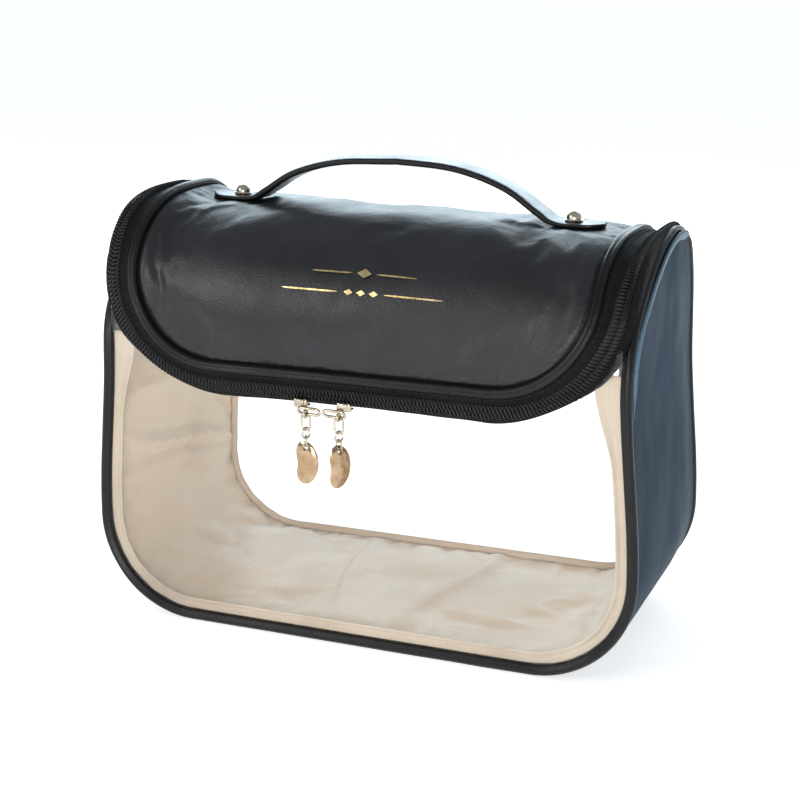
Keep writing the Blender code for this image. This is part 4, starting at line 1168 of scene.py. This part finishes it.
def stud(side, x):
    """Domed screw stud on a collar, and the washer under the lid."""
    head = STRAP_THICKNESS * 0.62 + GAP
    dome = [(0.0002, head + 0.0040)]
    for turn in np.linspace(0.1, np.pi / 2, 10):
        dome.append((0.0030 * math.sin(turn), head + 0.0012 + 0.0028 * math.cos(turn)))
    collar = [
        (0.0030, head + 0.0009), (0.0034, head + 0.0008), (0.0037, head + 0.0005), (0.0036, head + 0.0001),
        (0.0030, head), (0.0013, head - 0.0002), (0.0013, -LID_DEPTH - 0.0014),
    ]
    item = mesh_piece("stud_" + side, *turned(dome + collar, (x, 0.0, TOP_Z)), PALE_GOLD, 50)
    piece(item, "lid", "pale_gold", "handle_stud_" + side)
    low = -LID_DEPTH - 0.0004
    plate = [
        (0.0014, low), (0.0042, low), (0.0045, low - 0.0003), (0.0043, low - 0.0008), (0.0030, low - 0.0012),
        (0.0016, low - 0.0013), (0.0014, low - 0.0010),
    ]
    item = mesh_piece("washer_" + side, *turned(plate, (x, 0.0, TOP_Z)), PALE_GOLD, 50)
    piece(item, "lid", "pale_gold", "stud_washer_" + side)


# ---------------------------------------------------------------- pulls

def loop_points(half_width, height, count=40, twist=0.0):
    """(x, y, z) of an upright oval loop that hangs from z = 0 and twists about its length."""
    angle = 2 * np.pi * (np.arange(count) + 0.5) / count
    straight = height / 2 - half_width
    lift = np.where(np.sin(angle) > 0, straight, -straight)
    z = -height / 2 + lift + half_width * np.sin(angle)
    turn = twist * (z / height + 0.5)
    x = half_width * np.cos(angle)
    return np.stack([x * np.cos(turn), x * np.sin(turn), z], axis=1)


def spun(points, degrees):
    spin = np.array(Matrix.Rotation(math.radians(degrees), 3, "Z"))
    return points @ spin.T


def wire_loop(points, radius):
    _, across, normal = frames(points, points - points.mean(axis=0), closed=True)
    return sweep_mesh(points, across, normal, circle(radius, 10), closed=True)


def block(centre, size, round_by, tilt=0.0):
    """Points and faces of a block with rounded edges, turned about X."""
    builder = bmesh.new()
    bmesh.ops.create_cube(builder, size=1.0)
    bmesh.ops.scale(builder, vec=size, verts=builder.verts)
    edges = list(builder.edges)
    bmesh.ops.bevel(builder, geom=edges, offset=round_by, segments=3, profile=0.5, affect="EDGES")
    bmesh.ops.rotate(builder, verts=builder.verts, matrix=Matrix.Rotation(tilt, 3, "X"))
    points = np.array([v.co for v in builder.verts]) + np.array(centre)
    faces = [tuple(v.index for v in f.verts) for f in builder.faces]
    builder.free()
    return points, faces


def slider(side):
    """Slider body over the coil's lower edge, the lug that carries the ring, and its flat arm."""
    x, arm = PULL_X[side], ARM_SIDE[side]
    parts = [
        block((x - arm * 0.0021, -0.0590, 0.1006), (0.0058, 0.0018, 0.0036), 0.0007),
        block((x - arm * 0.0021, -0.0573, 0.0994), (0.0056, 0.0034, 0.0012), 0.0005),
        block((x - arm * 0.0021, -0.0598, 0.1012), (0.0036, 0.0014, 0.0022), 0.0006),
    ]
    bail = loop_points(0.0017, 0.0088, 44)
    bail = np.stack([bail[:, 2] + 0.0044, bail[:, 0], 0 * bail[:, 0]], axis=1)
    bail = bail @ np.array(Matrix.Rotation(math.radians(-58), 3, "X")).T
    parts.append(wire_loop(bail * (arm, 1, 1) + (x + arm * 0.0017, -0.0598, 0.0976), 0.00062))
    lug = circle(0.0015, 24)
    lug = np.stack([0 * lug[:, 0], lug[:, 0], lug[:, 1]], axis=1) + (x, EYE_Y, EYE_Z + 0.0002)
    parts.append(wire_loop(lug, 0.00052))
    item = mesh_piece("zip_slider_" + side, *joined(parts), PALE_GOLD, 50)
    piece(item, "slider_" + side, "pale_gold", "slider_" + side)


def bean(side, hole_z):
    """Mirror-polished kidney drop, softly domed, hung by a hole near its top."""
    angle = 2 * np.pi * np.arange(BEAN_SIDES) / BEAN_SIDES
    x = BEAN_HALF_WIDTH * np.cos(angle)
    z = 0.5 * BEAN_HEIGHT * np.sin(angle)
    x = x * (1 + 0.10 * np.sin(angle) ** 2)
    dent = np.where(x < 0, 0.0011 * np.exp(-((z + 0.0005) / 0.0036) ** 2), 0.0)
    bend = 0.0010 * (1 - (z / (0.5 * BEAN_HEIGHT)) ** 2) - 0.0008
    outline = np.stack([x + dent + bend, z], axis=1)
    centre = np.array([0.0004, 0.0])
    rings = []
    reach = np.sin(np.linspace(0.02, 1.0, 12) * np.pi / 2)
    dome = 0.0009 * (1 - reach ** 2.6) ** 0.8 + 0.00022 * (1 - reach ** 8)
    for share, high in list(zip(reach, -dome)) + list(zip(reach[::-1][1:], dome[::-1][1:])):
        flat = centre + (outline - centre) * share
        rings.append(np.stack([flat[:, 0], np.full(BEAN_SIDES, high), flat[:, 1] - BEAN_HEIGHT / 2], axis=1))
    points = np.vstack(rings)
    points[:, 1] += 0.00010 * ripple(points, 260, 2.0 if side == "left" else 5.0)
    faces = grid_faces(len(rings), BEAN_SIDES, loop=True)
    faces += [tuple(range(BEAN_SIDES)), tuple(reversed(range(len(points) - BEAN_SIDES, len(points))))]
    points = spun(points, BEAN_TURN[side]) + (PULL_X[side], EYE_Y, hole_z + BEAN_HOLE_DROP)
    item = mesh_piece("bean_drop_" + side, points, faces, ROSE_GOLD, 60)
    drilled(item, (PULL_X[side], EYE_Y, hole_z), BEAN_TURN[side])
    piece(item, "bean_" + side, "rose_gold", "bean_" + side)


def drilled(item, place, turn):
    """Cuts the drop's hole along the turned Y axis."""
    line = np.array([[0, -0.004, 0], [0, 0.004, 0]], float)
    line = spun(line, turn) + place
    _, across, normal = frames(line, np.tile([0.0, 0.0, 1.0], (2, 1)))
    tool = mesh_piece("hole_tool", *sweep_mesh(line, across, normal, circle(BEAN_HOLE, 20)), ROSE_GOLD)
    cut = item.modifiers.new("hole", "BOOLEAN")
    cut.object = tool
    cut.solver = "EXACT"
    bpy.context.view_layer.update()
    done = bpy.data.meshes.new_from_object(item.evaluated_get(bpy.context.evaluated_depsgraph_get()))
    item.modifiers.remove(cut)
    item.data = done
    bpy.data.objects.remove(tool)


def pull(side):
    """Slider, ring, two twisted links and the drop, each hung in the one above."""
    x = PULL_X[side]
    slider(side)
    top = EYE_Z - 0.0003
    ring = loop_points(RING_HALF_WIDTH, RING_HEIGHT) + (x, EYE_Y, top)
    item = mesh_piece("ring_" + side, *wire_loop(ring, RING_WIRE), PALE_GOLD)
    piece(item, "pull_ring_" + side, "pale_gold", "pull_ring_" + side)
    top = top - RING_HEIGHT + RING_WIRE + LINK_RADIUS + LINK_PLAY
    for name, turn, twist in (("upper_link_", 60, 0.5), ("lower_link_", LINK_TURN[side], -0.5)):
        link = spun(loop_points(LINK_HALF_WIDTH, LINK_HEIGHT, twist=twist), turn) + (x, EYE_Y, top)
        item = mesh_piece(name + "wire_" + side, *wire_loop(link, LINK_WIRE), PALE_GOLD)
        piece(item, name + side, "pale_gold", name + side)
        top = top - LINK_HEIGHT + 2 * LINK_RADIUS + LINK_PLAY
    bean(side, top - 0.00128)


# ---------------------------------------------------------------- foil ornament

def ornament(pad):
    """Plain foil rules and small lozenges pressed on the lid's face, in place of any lettering."""
    tree = BVHTree.FromObject(pad, bpy.context.evaluated_depsgraph_get())
    parts = []

    def strip(x0, x1, z, half):
        x = np.linspace(x0, x1, max(3, int(abs(x1 - x0) / 0.0012)))
        taper = np.sqrt(np.clip(1 - np.abs(2 * (x - x0) / (x1 - x0) - 1) ** 6, 0.04, 1))
        wide = taper * half
        parts.append(thin([[on_lid(px, z + w), on_lid(px, z - w)] for px, w in zip(x, wide)]))

    def lozenge(x, z, reach_x, reach_z):
        rows = []
        for share in np.linspace(-1.0, 1.0, 7):
            wide = reach_z * (1 - abs(share)) + 0.00005
            rows.append([on_lid(x + share * reach_x, z + wide), on_lid(x + share * reach_x, z - wide)])
        parts.append(thin(rows))

    def on_lid(x, z):
        place, normal, _, _ = tree.ray_cast(Vector((x, -0.2, z)), Vector((0.0, 1.0, 0.0)))
        return np.array(place), np.array(normal)

    def thin(rows):
        top = np.array([[p + n * 0.00006 for p, n in row] for row in rows])
        low = np.array([[p - n * 0.00004 for p, n in row] for row in rows])
        top = np.stack([top[:, 0], (top[:, 0] + top[:, 1]) / 2, top[:, 1]], axis=1)
        low = np.stack([low[:, 0], (low[:, 0] + low[:, 1]) / 2, low[:, 1]], axis=1)
        return closed_between(top, low, 0.0)

    middle = 0.0050
    for z, inner, outer in ((0.1500, 0.0050, 0.0215), (0.1435, 0.0095, 0.0330)):
        for side in (-1, 1):
            strip(middle + side * inner, middle + side * outer, z, 0.00028)
    lozenge(middle, 0.1500, 0.0030, 0.0015)
    for shift in (-0.0052, 0.0, 0.0052):
        lozenge(middle + shift, 0.1435, 0.0018, 0.0010)
    item = mesh_piece("foil_ornament", *joined(parts), FOIL, 30)
    piece(item, "lid", "pale_gold")


# ---------------------------------------------------------------- object, stage, lights and camera

def finish_nodes():
    """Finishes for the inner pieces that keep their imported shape."""
    foam = Finish("foam_finish", Specular_IOR_Level=0.2)
    foam.colour(foam.noise(220, 4.0), srgb(214, 212, 204), srgb(232, 230, 224))
    foam.vary("Roughness", foam.noise(300, 2.0), 0.85, 0.95)
    foam.raised(foam.cells(1600), 0.0002)
    board = Finish("board_finish", Specular_IOR_Level=0.2)
    cloudy = board.colour(board.noise(90, 5.0), srgb(150, 128, 98), srgb(178, 156, 124))
    board.shaded(cloudy, board.noise(1500, 3.0), 0.8, 1.1)
    board.vary("Roughness", board.noise(300, 2.0), 0.75, 0.9)
    board.raised(board.noise(900, 4.0), 0.0001)
    for node, finish in (("gusset_foam", foam), ("base_board", board)):
        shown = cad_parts[node]
        shown.data.materials.clear()
        shown.data.materials.append(finish.material)


def build():
    finish_nodes()
    gusset()
    gusset_hem(-1)
    gusset_hem(1)
    gusset_lining()
    body_cording(True)
    body_cording(False)
    windows()
    binding(True)
    binding(False)
    yoke()
    yoke_lining()
    pad = lid_pad()
    lid_liner()
    lid_cording()
    zipper()
    handle()
    for side in PULL_X:
        pull(side)
    ornament(pad)


def floor():
    mesh = bpy.data.meshes.new("floor")
    builder = bmesh.new()
    bmesh.ops.create_grid(builder, x_segments=1, y_segments=1, size=30.0)
    builder.to_mesh(mesh)
    builder.free()
    item = bpy.data.objects.new("floor", mesh)
    bpy.context.scene.collection.objects.link(item)
    plain = Finish("floor_finish", Roughness=0.9, Specular_IOR_Level=0.1, Emission_Strength=0.63)
    plain.shader.inputs["Emission Color"].default_value = (1.0, 1.0, 1.0, 1.0)
    plain.colour(plain.noise(3.0, 2.0), (0.93, 0.93, 0.935, 1.0), (0.95, 0.95, 0.95, 1.0))
    mesh.materials.append(plain.material)


def area_light(name, place, target, size, power, colour):
    data = bpy.data.lights.new(name, "AREA")
    data.shape = "RECTANGLE"
    data.size, data.size_y = size
    data.energy = power
    data.color = colour
    item = bpy.data.objects.new(name, data)
    item.location = place
    item.rotation_euler = (Vector(target) - Vector(place)).to_track_quat("-Z", "Y").to_euler()
    bpy.context.scene.collection.objects.link(item)


def lights():
    world = bpy.data.worlds.new("studio")
    bpy.context.scene.world = world
    world.use_nodes = True
    tree = world.node_tree
    backdrop = tree.nodes["Background"]
    backdrop.inputs["Color"].default_value = (1.0, 1.0, 1.0, 1.0)
    backdrop.inputs["Strength"].default_value = 1.1
    walls = tree.nodes.new("ShaderNodeBackground")
    walls.inputs["Color"].default_value = (0.86, 0.94, 1.0, 1.0)
    walls.inputs["Strength"].default_value = 0.42
    seen = tree.nodes.new("ShaderNodeLightPath")
    choice = tree.nodes.new("ShaderNodeMixShader")
    tree.links.new(seen.outputs["Is Camera Ray"], choice.inputs[0])
    tree.links.new(walls.outputs["Background"], choice.inputs[1])
    tree.links.new(backdrop.outputs["Background"], choice.inputs[2])
    tree.links.new(choice.outputs["Shader"], tree.nodes["World Output"].inputs["Surface"])
    area_light("key", (-1.1, -1.5, 0.9), (0.0, 0.0, 0.08), (0.8, 0.8), 9.0, (1.0, 0.97, 0.92))
    area_light("fill", (0.5, -1.8, 0.35), (-0.02, 0.0, 0.06), (0.8, 0.6), 14.0, (1.0, 0.95, 0.88))
    area_light("back", (-0.3, 1.3, 0.65), (0.0, 0.0, 0.08), (1.4, 0.6), 13.0, (0.74, 0.90, 1.0))


def camera():
    data = bpy.data.cameras.new("camera")
    data.lens = 69.6
    data.sensor_width = 36.0
    data.clip_start = 0.01
    item = bpy.data.objects.new("camera", data)
    item.location = (0.2324, -0.5810, 0.2551)
    item.rotation_euler = (math.radians(75.13), 0.0, math.radians(21.88))
    bpy.context.scene.collection.objects.link(item)
    bpy.context.scene.camera = item


build()
floor()
lights()
camera()
bpy.context.scene.view_settings.view_transform = "Standard"
